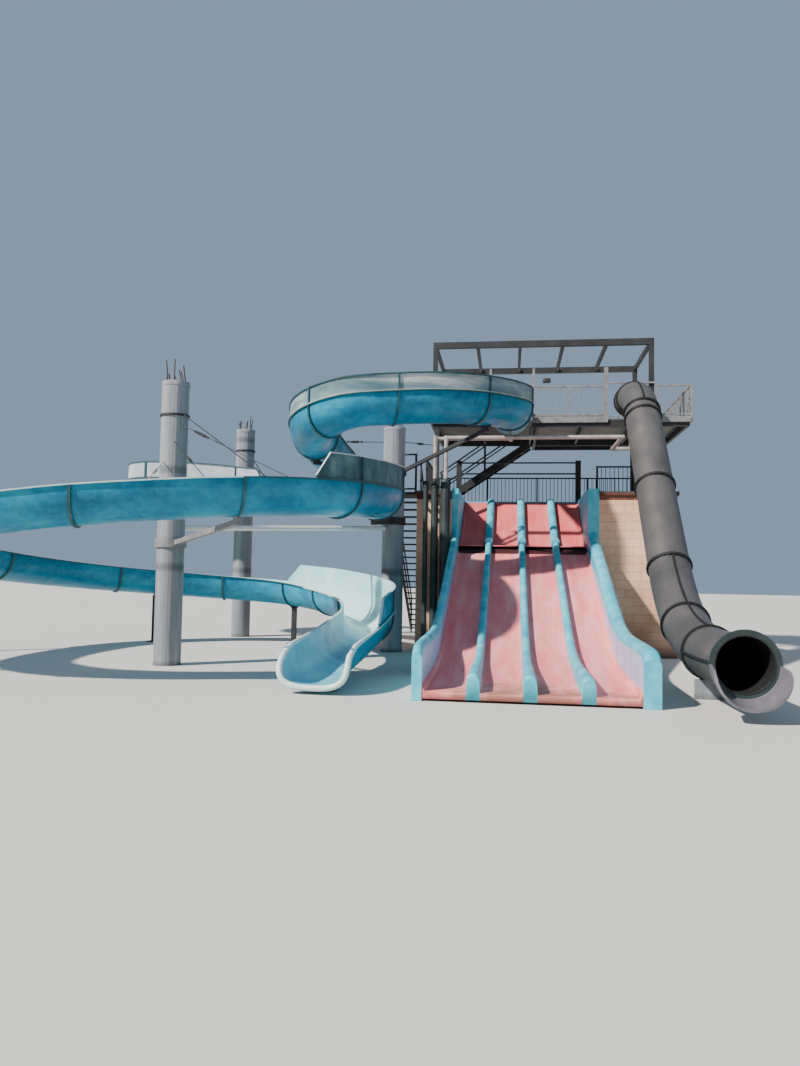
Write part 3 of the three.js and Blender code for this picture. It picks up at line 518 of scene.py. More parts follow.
RIM_THICK = 0.02
STRAIGHT_SIDE = 0.1
PIPE_STEPS = 18
STATIONS_A_POINT = 7
HALF_GAP = 0.0004
flume_line = [Vector(point) / 1000 for point in FLUME_PATH]


def flume_frame(u):
    """The rim's middle at a place on the path, and the level direction to its left."""
    point = spline(flume_line, u)
    ahead = spline(flume_line, min(u + 0.01, FLUME_END)) - spline(flume_line, max(u - 0.01, 0))
    left = Vector((0, 0, 1)).cross(ahead).normalized()
    return point, left


def flume_point(k, point, u):
    """Where a point of the section goes: out to the left of the middle, and up from the rim."""
    middle, left = flume_frame(u)
    return middle + left * point[0] + Vector((0, 0, point[1]))


def half_pipe(radius, count, turn=1):
    """The round bottom below the straight sides, from one side to the other."""
    turns = [math.pi * s / count for s in range(count + 1)]
    return [(-turn * radius * math.cos(angle), -STRAIGHT_SIDE - radius * math.sin(angle)) for angle in turns]


MOUTH_FROM = 48.6
MOUTH_DEPTH = 0.6
CUT_BACK = 0.62
CUT_SHARPNESS = 3.4
FLARE_FROM = FLUME_END - 1
FLARE_WIDENS = 0.07
FLARE_LIFTS = 0.13
SQUARENESS = 3.2


def mouth_edge(depth):
    """How far along the path the mouth ends at a depth below the rim: only its rims are cut back."""
    share = min(max(depth / MOUTH_DEPTH, 0.0), 1.0)
    return FLUME_END - CUT_BACK * (1 - share) ** CUT_SHARPNESS


def flared(point, u):
    """Before the mouth the section widens, squares its lower corners and lifts a little."""
    share = min(max(u - FLARE_FROM, 0.0), 1.0) ** 2
    widened = point[0] * (1 + FLARE_WIDENS * share)
    depth = -point[1] - STRAIGHT_SIDE
    if depth <= 0:
        return (widened, point[1])
    radius = math.hypot(point[0], depth)
    square = ((abs(point[0]) / radius) ** SQUARENESS + (depth / radius) ** SQUARENESS) ** (-1 / SQUARENESS)
    grown = 1 + (square - 1) * share
    return (widened * grown, -STRAIGHT_SIDE - depth * grown * (1 - FLARE_LIFTS * share))


def outlet_point(k, point, u):
    """The last length is cut back towards its rims, so that it ends as a scoop."""
    if u > MOUTH_FROM:
        share = (u - MOUTH_FROM) / (FLUME_END - MOUTH_FROM)
        u = MOUTH_FROM + share * (mouth_edge(-point[1]) - MOUTH_FROM)
    return flume_point(k, flared(point, u), u)


flume_outside = Finish("deep teal gelcoat", roughness=0.32)
flume_outside.shader.inputs["Specular IOR Level"].default_value = 0.3
long_way = flume_outside.cloud(0.9, flume_outside.stretch(0.8, 0.8, 1.6))
outside_patches = flume_outside.ramp(long_way, (0.3, colour(0, 92, 124)), (0.5, colour(0, 118, 152)),
                                     (0.75, colour(30, 158, 186)))
mottle = flume_outside.ramp(flume_outside.cloud(0.12, detail=9), (0.45, BLACK), (0.8, WHITE))
flume_outside.paint(flume_outside.mix(flume_outside.sum("MULTIPLY", mottle, 0.3), outside_patches,
                                      colour(84, 176, 190)))
flume_outside.gloss(flume_outside.cloud(0.3), 0.22, 0.5).bump(flume_outside.cloud(0.18), 0.3, 0.01)

flume_inside = Finish("worn pale blue gelcoat, painted sunlight", roughness=0.35)
inside_patches = flume_inside.ramp(flume_inside.cloud(0.8), (0.3, colour(72, 150, 180)),
                                   (0.55, colour(112, 184, 204)), (0.8, colour(168, 218, 224)))
worn_through = flume_inside.ramp(flume_inside.cloud(0.5, detail=8.0), (0.62, BLACK), (0.78, WHITE))
inside_shade = flume_inside.mix(flume_inside.sum("MULTIPLY", worn_through, 0.4), inside_patches,
                                colour(170, 158, 142))
# Painted sunlight: below 1.9 m the inside turns pale from Y -4.4 to -3.2, where the sun reaches it; nearer
# it keeps its bluer colour as painted shade.
SUNLIT_FROM = -4.4
SUNLIT_FULL = -3.2
SUNLIT_BELOW = 1.9
painted_sunlight = flume_inside.sum("MULTIPLY",
                          reach(flume_inside, flume_inside.axis("Y"), SUNLIT_FROM, SUNLIT_FULL, 1.0),
                          flume_inside.sum("LESS_THAN", flume_inside.axis("Z"), SUNLIT_BELOW))
flume_inside.paint(flume_inside.mix(painted_sunlight, inside_shade, colour(196, 228, 230)))
flume_inside.gloss(flume_inside.cloud(0.3), 0.25, 0.5).bump(flume_inside.cloud(0.3), 0.2, 0.01)

# Painted shade: this dark teal stands for the shaded undersides of the rims and lips it is put on; the joint
# ribs and two foot flanges are dark teal too.
teal_and_shaded_edge = two_tone("dark teal flange, rim in painted shade", 0.2, (18, 54, 60), (48, 96, 102))
pale_edge = two_tone("chalked pale rim", 0.2, (164, 194, 196), (214, 226, 224), roughness=0.6)

rim_side = [(FLUME_OUTSIDE, -RIM_THICK), (RIM_OUTSIDE, -RIM_THICK), (RIM_OUTSIDE, 0.0)]
shell_ring = ([(-x, z) for x, z in reversed(rim_side)] + half_pipe(FLUME_OUTSIDE, PIPE_STEPS)
              + rim_side + [(FLUME_INSIDE, 0.0)] + half_pipe(FLUME_INSIDE, PIPE_STEPS, -1)
              + [(-FLUME_INSIDE, 0.0)])
shell_parts = [2, 2, 0] + [0] * (PIPE_STEPS + 1) + [2, 2, 2] + [1] * (PIPE_STEPS + 2) + [2]
for run, (first, last) in FLUME_RUNS.items():
    count = int((last - first) * STATIONS_A_POINT)
    places = [first + HALF_GAP + (last - first - 2 * HALF_GAP) * s / count for s in range(count + 1)]
    shell = sweep(shell_ring, places, outlet_point if run == "flume_outlet" else flume_point, shell_parts)
    # The front run and the outlet get the pale rim; on all other runs the rim is dark teal, as painted
    # shade.
    rim = pale_edge if run in ("flume_front_run", "flume_outlet") else teal_and_shaded_edge
    mesh = settle(shell, run, flume_outside.material, flume_inside.material, rim.material, angle=40)
    piece(run + "_shell", mesh, "blue_fibreglass", run)

# Raised walls: on the outer side of some bends a second moulding stands on the rim on a bolted flange,
# with slanted ends and a folded lip along its top. Sun and rain have bleached the upper ones grey.
weathered = Finish("weathered grey-teal gelcoat", roughness=0.6)
streaks = weathered.cloud(1.3, weathered.stretch(0.6, 0.6, 3.0), detail=4.0)
weathered_patches = weathered.ramp(streaks, (0.3, colour(46, 90, 100)), (0.5, colour(110, 134, 142)),
                                   (0.7, colour(190, 198, 198)))
weathered.paint(weathered_patches).bump(weathered.cloud(0.2), 0.25, 0.008)
bleached = Finish("sun-bleached gelcoat", roughness=0.6)
bleached.paint(bleached.ramp(bleached.cloud(0.7), (0.3, colour(150, 164, 174)),
                             (0.55, colour(186, 194, 200)), (0.8, colour(214, 218, 218))))
bleached.bump(bleached.cloud(0.2), 0.25, 0.008)
patched = Finish("patchy grey-teal gelcoat", roughness=0.5)
dark_patches = patched.cloud(0.35, patched.stretch(1.0, 1.0, 0.5), detail=9.0)
patched.paint(patched.ramp(dark_patches, (0.32, colour(20, 46, 52)), (0.5, colour(52, 94, 100)),
                           (0.72, colour(104, 138, 140))))
patched.bump(patched.cloud(0.15), 0.3, 0.008)
pale_inside = two_tone("pale inside of the raised wall", 0.6, (150, 212, 220), (206, 236, 236),
                       roughness=0.4, grain=0.2, strength=0.15, depth=0.006)
chalked_edge = two_tone("chalked grey flange", 0.15, (140, 152, 144), (186, 194, 184), roughness=0.6)
teal_edge = two_tone("teal flange", 0.2, (20, 108, 128), (60, 150, 166))

LEFT = 1
RIGHT = -1
# On the start and north walls the lip is dark teal, as painted shade; on the middle and low walls it is
# pale.
RAISED = [
    ("start", 0.8, 9.6, LEFT, 0.37, weathered, teal_and_shaded_edge, chalked_edge, 0.92),
    ("north", 16.3, 20.85, RIGHT, 0.46, bleached, teal_and_shaded_edge, teal_and_shaded_edge, 0.95),
    ("middle", 22.6, 28.8, LEFT, 0.46, patched, pale_edge, teal_and_shaded_edge, 0.968),
    ("low", 42.2, 48.6, LEFT, 0.46, flume_outside, pale_edge, teal_edge, 0.972),
]
wall_parts = [3, 3, 3, 0, 0, 2, 2, 2, 1, 1]
SLANT = 0.25
WALL_LEAST = 0.05
FLANGE_OUTSIDE = 0.548
FLANGE_THICK = 0.022
FLANGE_FILLET = 0.028
FLANGE_TOP = 0.03
FOLD_OUTSIDE = 0.545


def wall_height(u, first, last, height):
    """A raised wall slants up from its foot flange at its first end and down at its last."""
    share = max(min((u - first) / SLANT, (last - u) / SLANT, 1.0), 0.0)
    return WALL_LEAST + (height - WALL_LEAST) * share


def wall_outline(lip_from):
    """Foot flange, outer face, folded lip and inner face; heights above the flange are shares."""
    return [(FLUME_INSIDE, 0.0), (FLANGE_OUTSIDE, 0.0), (FLANGE_OUTSIDE, FLANGE_THICK),
            (FLUME_OUTSIDE, FLANGE_FILLET), (FLUME_OUTSIDE, 0.5), (FLUME_OUTSIDE, lip_from),
            (FOLD_OUTSIDE, lip_from + 0.005), (FOLD_OUTSIDE, 1.0), (FLUME_INSIDE, 1.0), (FLUME_INSIDE, 0.5)]


for label, first, last, side, height, outside, lip, foot, lip_from in RAISED:
    def raised_point(k, point, u):
        middle, left = flume_frame(u)
        high = point[1] if point[1] < FLANGE_TOP else point[1] * wall_height(u, first, last, height)
        return middle + left * (side * point[0]) + Vector((0, 0, high))

    count = int((last - first) * STATIONS_A_POINT)
    places = sorted({first, last, *(first + SLANT * s / 3 for s in range(4)),
                     *(last - SLANT * s / 3 for s in range(4)),
                     *(first + (last - first) * s / count for s in range(1, count))})
    wall = sweep(wall_outline(lip_from), places, raised_point, wall_parts)
    mesh = settle(wall, label, outside.material, pale_inside.material, lip.material, foot.material, angle=40)
    piece(f"flume_wall_{label}", mesh, "blue_fibreglass")

# Flume joints: where two lengths meet, their end flanges stand out as a dark rib bolted right round
# the half pipe and up the raised wall, about every two metres.
FLUME_JOINTS = [1.7, 3.4, 5.15, 6.72, 8.45, 10.2, 12.2, 14.2, 16.2, 18.1, 19.95, 22, 23.95, 25.9, 27.85,
                29.85, 31.75, 33.7, 35.6, 37.5, 39.4, 41.1, 42.6, 44.05, 45.7, 47.3]
RIB_INSIDE = FLUME_OUTSIDE + 0.001
RIB_OUTSIDE = 0.55
RIB_END = (0.555, -RIM_THICK - 0.001)
RIB_HALF = 0.016
WALL_RIB_OUTSIDE = 0.546
WALL_RIB_FROM = 0.024
rib_ring = ([(-RIB_END[0], RIB_END[1])] + half_pipe(RIB_OUTSIDE, PIPE_STEPS)
            + [RIB_END, (RIB_INSIDE, RIB_END[1])] + half_pipe(RIB_INSIDE, PIPE_STEPS, -1)
            + [(-RIB_INSIDE, RIB_END[1])])
for number, u in enumerate(FLUME_JOINTS):
    rib = sweep(rib_ring, [u - RIB_HALF, u + RIB_HALF], flume_point)
    piece(f"flume_joint_{number + 1}", settle(rib, "rib", teal_and_shaded_edge.material, angle=40), "blue_fibreglass")
    for label, first, last, side, height, outside, lip, foot, lip_from in RAISED:
        tall = wall_height(u, first, last, height)
        if tall > WALL_LEAST + 0.01:
            inner, outer = side * RIB_INSIDE, side * WALL_RIB_OUTSIDE
            top = tall * 0.95
            flange = [(inner, WALL_RIB_FROM), (outer, WALL_RIB_FROM), (outer, top), (inner, top)]
            strip = sweep(flange, [u - RIB_HALF, u + RIB_HALF], flume_point)
            mesh = settle(strip, "strip", teal_and_shaded_edge.material, angle=40)
            piece(f"wall_joint_{number + 1}", mesh, "blue_fibreglass")

# Flume mouth: the last length ends in a thick rolled lip of pale gelcoat, which starts thin on both
# rims and follows the cut-back edge down and round the half pipe.
mouth_white = Finish("pale rolled lip", roughness=0.45)
mouth_white.paint(mouth_white.ramp(mouth_white.cloud(0.3), (0.3, colour(176, 208, 212)),
                                   (0.6, colour(222, 234, 234))))
mouth_white.bump(mouth_white.cloud(0.1), 0.15, 0.004)


def rolled_edge(path, radii, outs, sides=10):
    """A round moulding of changing thickness along a line of points; outs point away from its inside."""
    def place(k, point, s):
        along = (path[min(s + 1, len(path) - 1)] - path[max(s - 1, 0)]).normalized()
        side = along.cross(outs[s]).normalized()
        out = side.cross(along)
        at = path[s] + (side * point[0] + out * point[1]) * radii[s]
        return Vector((at.x, at.y, max(at.z, 0.004)))

    ring = [(math.cos(math.tau * s / sides), math.sin(math.tau * s / sides)) for s in range(sides)]
    return sweep(ring, range(len(path)), place)


LIP_MIDDLE = 0.512
LIP_RADIUS = 0.048
RIM_MIDDLE = 0.525
RIM_RUN = [(48.4, 0.012), (49.0, 0.022), (49.6, 0.034), (50.1, 0.042)]
level_left = flume_frame(FLUME_END)[1]
lip_line = half_pipe(LIP_MIDDLE, 30)
lip_ends = [mouth_edge(-point[1]) for point in lip_line]
lip_path = [flume_point(0, flared(point, u), u) for point, u in zip(lip_line, lip_ends)]
lip_outs = [level_left * point[0] + Vector((0, 0, point[1] + STRAIGHT_SIDE)) for point in lip_line]
rim_radii = [radius for _, radius in RIM_RUN]
first_rim, last_rim = ([flume_point(0, (side * RIM_MIDDLE, -RIM_THICK / 2), u) for u, _ in RIM_RUN]
                       for side in (-1, 1))
lip_path = first_rim + lip_path + last_rim[::-1]
lip_outs = [-level_left] * len(RIM_RUN) + lip_outs + [level_left] * len(RIM_RUN)
lip_radii = rim_radii + [LIP_RADIUS] * len(lip_line) + rim_radii[::-1]
rolled_lip = rolled_edge(lip_path, lip_radii, lip_outs)
piece("flume_mouth_lip", settle(rolled_lip, "lip", mouth_white.material, angle=60), "blue_fibreglass")


# Concrete columns that carry the flume: round, cast in steel shutters, stained by rain, with a thin cap
# and the ends of their reinforcing bars left standing on top.
concrete = Finish("cast concrete", roughness=0.9)
rain_runs = concrete.cloud(0.3, concrete.stretch(1.5, 1.5, 0.12))
grey = concrete.ramp(rain_runs, (0.3, colour(114, 118, 124)), (0.55, colour(142, 145, 150)),
                     (0.8, colour(166, 167, 169)))
lifts = concrete.node("TexWave", Vector=concrete.place, Scale=0.165, Distortion=0.0)
lifts.bands_direction = "Z"
band = concrete.ramp(lifts.outputs["Fac"], (0.0, colour(200, 200, 200)), (0.03, WHITE))
concrete.paint(concrete.mix(1.0, grey, band, "MULTIPLY"))
concrete.bump(concrete.cloud(0.03), 0.35, 0.005)
for node in ("column_west", "column_north", "column_middle", "tube_cradle", "flume_outlet_saddle"):
    dress(node, concrete.material)

rust = two_tone("rusted bar", 0.05, (60, 44, 38), (104, 74, 58), roughness=0.85, metallic=0.3, grain=0.01,
                strength=0.4, depth=0.002)


def bar(shape, start, end, radius, sides=8):
    """A round bar between two points, added to a shape."""
    start, end = Vector(start), Vector(end)
    along = end - start
    turn = along.to_track_quat("Z", "Y").to_matrix().to_4x4()
    bmesh.ops.create_cone(shape, cap_ends=True, segments=sides, radius1=radius, radius2=radius,
                          depth=along.length, matrix=Matrix.Translation((start + end) / 2) @ turn)


def turned(profile, centre, way, sides=32):
    """A profile of (radius, distance along) spun right round a line from a centre."""
    shape = bmesh.new()
    way = Vector(way).normalized()
    out = way.orthogonal().normalized()
    points = [shape.verts.new(Vector(centre) + out * radius + way * far) for radius, far in profile]
    lines = [shape.edges.new(pair) for pair in zip(points, points[1:])]
    bmesh.ops.spin(shape, geom=points + lines, cent=centre, axis=way, dvec=(0, 0, 0), angle=math.tau,
                   steps=sides, use_merge=True, use_duplicate=False)
    bmesh.ops.remove_doubles(shape, verts=shape.verts[:], dist=0.0003)
    bmesh.ops.recalc_face_normals(shape, faces=shape.faces[:])
    return shape


UP = (0, 0, 1)
CAP_PROFILE = [(0.2655, -0.085), (0.272, -0.08), (0.272, 0.0), (0.268, 0.006), (0.0, 0.006)]
STUBS = 8
STUB_CIRCLE = 0.19
STUB_DEEP = 0.02
STUB_RADIUS = 0.012
STUB_LEAN = 0.09
STUB_SHORT = 0.2
STUB_LONG = 0.46
random.seed(7)
for name in ("west", "north", "middle"):
    low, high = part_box(f"column_{name}")
    middle = (low + high) / 2
    cap = turned(CAP_PROFILE, (middle.x, middle.y, high.z), UP)
    piece(f"column_cap_{name}", settle(cap, "cap", concrete.material), "concrete")
    stubs = bmesh.new()
    for s in range(STUBS):
        angle = math.tau * s / STUBS + 0.2
        root = Vector((middle.x + STUB_CIRCLE * math.cos(angle), middle.y + STUB_CIRCLE * math.sin(angle),
                       high.z - STUB_DEEP))
        lean = Vector((random.uniform(-STUB_LEAN, STUB_LEAN), random.uniform(-STUB_LEAN, STUB_LEAN),
                       random.uniform(STUB_SHORT, STUB_LONG)))
        bar(stubs, root, root + lean, STUB_RADIUS, 6)
    piece(f"column_bars_{name}", settle(stubs, "stubs", rust.material), "painted_steel")


# Steelwork: arms, clamp rings, ties, legs, posts, beams, roof frame and stairs are welded steel in dark
# grey paint, chalked and rusting in spots. The platform's railing is weathered grey and the link pipe
# between the columns chalked white.
steel = Finish("chalked dark paint", roughness=0.6, metallic=0.25)
steel_shade = steel.ramp(steel.cloud(0.4), (0.3, colour(34, 36, 39)), (0.6, colour(50, 51, 53)),
                         (0.85, colour(80, 78, 75)))
rust_spots = steel.ramp(steel.cloud(0.09, detail=9), (0.6, BLACK), (0.72, WHITE))
steel.paint(steel.mix(steel.sum("MULTIPLY", rust_spots, 0.35), steel_shade, colour(104, 72, 54)))
steel.bump(steel.cloud(0.05), 0.2, 0.003)
galvanised = two_tone("dull galvanised steel", 0.15, (168, 160, 150), (208, 200, 190), metallic=0.4,
                      grain=0.03, strength=0.15, depth=0.002)
galvanised.gloss(galvanised.cloud(0.05), 0.4, 0.65)
dull = two_tone("grey weathered railing", 0.15, (112, 112, 114), (150, 149, 148), roughness=0.6,
                metallic=0.3, grain=0.04, strength=0.15, depth=0.002)
for node in nodes:
    if node.startswith(("arms_middle", "arms_north", "tie_", "flume_leg", "tower_post", "platform_beams",
                        "roof_frame", "base_railing", "base_back_railing", "start_gate", "lower_stair",
                        "upper_stair")):
        dress(node, steel.material)
    elif node.startswith(("platform_railing", "arms_west")):
        dress(node, dull.material)
white_pipe = two_tone("chalked white pipe", 0.2, (214, 210, 206), (236, 233, 228), roughness=0.55,
                      strength=0.15, depth=0.003)
dress("column_link_pipe", white_pipe.material)


# Tie rods: thin steel bars with a turnbuckle and two nuts, from the west column down to the flume's rim,
# and from the middle column to the upper loop and to the tower.
ROD_RADIUS = 0.009
TURNBUCKLE_HALF = 0.1
TURNBUCKLE_RADIUS = 0.03
NUT_RADIUS = 0.022
NUT_FROM = 1.3
NUT_TO = 1.9


def tie_rod(name, start, end, screw, finish):
    """A rod from start to end with a long turnbuckle at a share of its length, and a nut at each side."""
    start, end = Vector(start), Vector(end)
    along = end - start
    shape = bmesh.new()
    bar(shape, start, end, ROD_RADIUS)
    middle = start + along * screw
    half = along.normalized() * TURNBUCKLE_HALF
    bar(shape, middle - half, middle + half, TURNBUCKLE_RADIUS, 6)
    bar(shape, middle - half * NUT_TO, middle - half * NUT_FROM, NUT_RADIUS, 6)
    bar(shape, middle + half * NUT_FROM, middle + half * NUT_TO, NUT_RADIUS, 6)
    piece(name, settle(shape, name, finish.material), "painted_steel")


west = Vector((-6.93, -4.64, 0))
left_rim = (0.54, -RIM_THICK / 2)
right_rim = (-0.54, -RIM_THICK / 2)
tie_rod("west_tie_2", west + Vector((0.23, -0.12, 4.69)), flume_point(0, right_rim, 28.2), 0.16, steel)
tie_rod("west_tie_3", west + Vector((0.1, -0.24, 4.36)), flume_point(0, right_rim, 30.2), 0.45, steel)
tie_rod("west_tie_4", west + Vector((-0.1, -0.24, 3.96)), flume_point(0, right_rim, 31.1), 0.4, galvanised)
tie_rod("middle_tie_left", (-3.38, -0.4, 5.09), flume_point(0, left_rim, 9.0), 0.35, steel)
tie_rod("middle_tie_right", (-2.86, -0.36, 5.09), (-2.3, 1.35, 5.3), 0.5, steel)

# Deck plate of the start platform: chequered steel on the beams, its paint worn through to dull brown
# and grey underfoot.
chequer = Finish("chequer plate", roughness=0.55, metallic=0.5)
diamonds = chequer.node("TexVoronoi", Vector=chequer.place, Scale=22.0)
chequer.paint(chequer.ramp(chequer.cloud(0.5), (0.3, colour(66, 62, 58)), (0.7, colour(104, 98, 92))))
chequer.bump(diamonds.outputs["Distance"], 0.4, 0.003)
dress("platform_deck", chequer.material)


# Tube slide: bolted lengths of dark grey fibreglass pipe with an external flange at each joint. Some
# lengths are two half shells. A joint is given by its Y and Z and by the slope there, in degrees.
TUBE_X = 2.75
TUBE_OUTER = 0.395
TUBE_INNER = 0.375
TUBE_SIDES = 40
BEND_STEPS = 24
STRAIGHT_STEPS = 8
END_GAP = 0.001
TUBE_JOINTS = [(1.35, 6.42, 0), (-0.42, 5.77, 50), (-2.12, 3.8, 49), (-3.65, 2.06, 48), (-5.09, 1.05, 22),
               (-6.76, 0.715, 3), (-8.66, 0.715, 0)]
TUBE_RUNS = ["tube_entry_elbow", "tube_upper_straight", "tube_lower_straight", "tube_bend", "tube_run_out",
             "tube_mouth"]
tube_grey = Finish("matt dark grey gelcoat", roughness=0.5)
tube_shade = tube_grey.ramp(tube_grey.cloud(0.8, tube_grey.stretch(1.0, 0.5, 0.5)),
                            (0.3, colour(64, 62, 62)), (0.6, colour(84, 81, 80)),
                            (0.85, colour(108, 104, 101)))
tube_grey.paint(tube_shade).gloss(tube_grey.cloud(0.5), 0.36, 0.6).bump(tube_grey.cloud(0.1), 0.12, 0.004)
tube_dark = Finish("shaded inside of the tube", roughness=0.6)
tube_dark.paint(tube_dark.ramp(tube_dark.cloud(0.4), (0.3, colour(16, 16, 17)), (0.7, colour(34, 34, 35))))
flange_black = two_tone("black joint flange", 0.1, (12, 13, 14), (30, 30, 31), roughness=0.65, grain=0.03,
                        depth=0.003)


def downhill(slope):
    """The way forward and down at a slope in degrees."""
    return Vector((0, -math.cos(math.radians(slope)), -math.sin(math.radians(slope))))


def tube_at(run, t):
    """The tube's middle and its way on, at a share t of one length."""
    (y0, z0, slope0), (y1, z1, slope1) = TUBE_JOINTS[run], TUBE_JOINTS[run + 1]
    pull = math.hypot(y1 - y0, z1 - z0) / 3
    start = Vector((TUBE_X, y0, z0))
    end = Vector((TUBE_X, y1, z1))
    p = [start, start + downhill(slope0) * pull, end - downhill(slope1) * pull, end]
    q = 1 - t
    at = p[0] * q ** 3 + p[1] * 3 * q * q * t + p[2] * 3 * q * t * t + p[3] * t ** 3
    way = (p[1] - p[0]) * 3 * q * q + (p[2] - p[1]) * 6 * q * t + (p[3] - p[2]) * 3 * t * t
    return at, way.normalized()


circle = [(math.cos(math.tau * s / TUBE_SIDES), math.sin(math.tau * s / TUBE_SIDES))
          for s in range(TUBE_SIDES)]
right = Vector((-1, 0, 0))


def pipe_mesh(run, places, *materials):
    """A pipe wall: the outer skin goes out, the inner skin comes back, and both ends are closed."""
    walls = [(t, TUBE_OUTER) for t in places] + [(t, TUBE_INNER) for t in reversed(places)]

    def place(k, point, station):
        t, radius = station
        at, way = tube_at(run, t)
        top = right.cross(way).normalized()
        return at + right * point[0] * radius + top * point[1] * radius

    walls.append(walls[0])
    shape = sweep(circle, walls, place, closed=True, capped=False)
    bmesh.ops.remove_doubles(shape, verts=shape.verts[:], dist=0.0004)
    bmesh.ops.recalc_face_normals(shape, faces=shape.faces[:])
    for face in shape.faces:
        middle = face.calc_center_median()
        nearest = min((tube_at(run, t)[0] for t in places), key=lambda at: (at - middle).length)
        face.material_index = 1 if (middle - nearest).length < (TUBE_OUTER + TUBE_INNER) / 2 - 0.001 else 0
    return settle(shape, "pipe", *materials, angle=40)


FLANGE_PROFILE = [(0.392, 0.001), (0.431, 0.001), (0.432, 0.02), (0.43, 0.024), (0.403, 0.027),
                  (0.392, 0.06), (0.392, 0.001)]
BOLTS_A_JOINT = 24
BOLT_CIRCLE = 0.417
BOLT_HALF = 0.04
BOLT_RADIUS = 0.012


def flange_ring(name, at, way):
    """One bolting flange: a flat ring with a short fillet back to the pipe."""
    mesh = settle(turned(FLANGE_PROFILE, at, way, TUBE_SIDES), "flange", flange_black.material, angle=30)
    piece(name, mesh, "black_fibreglass")


bolts = bmesh.new()


def bolt_circle(at, way):
    """Hexagon heads all round a pair of flanges."""
    top = right.cross(way).normalized()
    for s in range(BOLTS_A_JOINT):
        angle = math.tau * (s + 0.5) / BOLTS_A_JOINT
        out = (right * math.cos(angle) + top * math.sin(angle)) * BOLT_CIRCLE
        bar(bolts, at + out - way * BOLT_HALF, at + out + way * BOLT_HALF, BOLT_RADIUS, 6)


for run, name in enumerate(TUBE_RUNS):
    steps = STRAIGHT_STEPS if "straight" in name else BEND_STEPS
    places = [END_GAP + (1 - 2 * END_GAP) * s / steps for s in range(steps + 1)]
    made = pipe_mesh(run, places, tube_grey.material, tube_dark.material)
    piece(name + "_wall", made, "black_fibreglass", name)
    at, way = tube_at(run, 0.0)
    flange_ring(f"{name}_head_flange", at, way)
    if run > 0:
        flange_ring(f"{name}_joint_flange", at, -way)
    bolt_circle(at, way)
COLLAR_JOINTS = [(0, 0.24), (1, 0.1)]
for number, (run, t) in enumerate(COLLAR_JOINTS):
    at, way = tube_at(run, t)
    flange_ring(f"collar_head_flange_{number + 1}", at, way)
    flange_ring(f"collar_joint_flange_{number + 1}", at, -way)
    bolt_circle(at, way)

# Seams of the tube: two half shells meet in a pair of narrow flanges with small bolts, on top and below
# along the bends and the run-out, and at the sides by the mouth.
SEAMS = [(0, 90), (3, 90), (4, 90), (0, -90), (3, -90), (4, -90), (5, 0), (5, 180)]
SEAM_STRIP = [(0.39, -0.014), (0.424, -0.012), (0.424, 0.012), (0.39, 0.014)]
SEAM_FROM = 0.02
SEAM_SPAN = 0.95
SEAM_STEPS = 20
SEAM_BOLTS = 14
BOLTS_FROM = 0.05
BOLTS_SPAN = 0.9
SEAM_BOLT_OUT = 0.41
SEAM_BOLT_HALF = 0.02
SEAM_BOLT_RADIUS = 0.01
for run, turn in SEAMS:
    angle = math.radians(turn)

    def seam_point(k, point, t):
        at, way = tube_at(run, t)
        top = right.cross(way).normalized()
        out = right * math.cos(angle) + top * math.sin(angle)
        across_seam = out.cross(way)
        return at + out * point[0] + across_seam * point[1]

    places = [SEAM_FROM + SEAM_SPAN * s / SEAM_STEPS for s in range(SEAM_STEPS + 1)]
    seam = sweep(SEAM_STRIP, places, seam_point)
    piece(f"tube_seam_{run + 1}_{turn}", settle(seam, "seam", flange_black.material), "black_fibreglass")
    for s in range(SEAM_BOLTS):
        t = BOLTS_FROM + BOLTS_SPAN * s / (SEAM_BOLTS - 1)
        bolt_at = seam_point(0, (SEAM_BOLT_OUT, 0.0), t)
        way = seam_point(0, (SEAM_BOLT_OUT, SEAM_BOLT_HALF), t) - bolt_at
        bar(bolts, bolt_at - way, bolt_at + way, SEAM_BOLT_RADIUS, 6)
piece("tube_bolts", settle(bolts, "bolts", flange_black.material, smooth=False), "galvanised_steel")

# Tube mouth: a flared dark collar stands round the end of the pipe, and the lower half shell runs on
# past it in paler grey, dipping a little, with its two top corners rounded off.
mouth_at, mouth_way = tube_at(len(TUBE_RUNS) - 1, 1.0)
COLLAR_PROFILE = [(0.396, -0.12), (0.425, -0.06), (0.452, -0.015), (0.466, 0.0), (0.462, 0.008),
                  (0.43, 0.004), (0.39, -0.004), (0.374, -0.02), (0.376, -0.12), (0.396, -0.12)]
SCOOP_RADIUS = 0.462
SCOOP_WIDENS = 0.03
SCOOP_THICK = 0.035
SCOOP_GAP = 0.002
SCOOP_REACH = 0.46
SCOOP_DIP = 9
CORNER_FROM = 0.5
CORNER_SWING = 0.55
SCOOP_SIDES = 24
SCOOP_PLACES = [0, 0.15, 0.3, 0.45, 0.58, 0.7, 0.8, 0.88, 0.94, 0.98, 1.0]
collar_dark = two_tone("dark green-black collar", 0.3, (22, 36, 38), (48, 62, 62), roughness=0.45,
                       grain=0.08, strength=0.15, depth=0.003)
collar = turned(COLLAR_PROFILE, mouth_at, mouth_way, 48)
piece("tube_mouth_collar", settle(collar, "collar", collar_dark.material, angle=30), "black_fibreglass")
lip_grey = two_tone("pale grey gelcoat", 0.3, (90, 88, 94), (118, 114, 120), roughness=0.45, grain=0.1,
                    strength=0.15)
scoop_way = downhill(SCOOP_DIP)
scoop_top = right.cross(scoop_way).normalized()
scoop_turns = [math.pi * s / SCOOP_SIDES for s in range(SCOOP_SIDES + 1)]
scoop_ring = [(angle, 0.0) for angle in scoop_turns] + [(angle, -SCOOP_THICK) for angle in scoop_turns[::-1]]


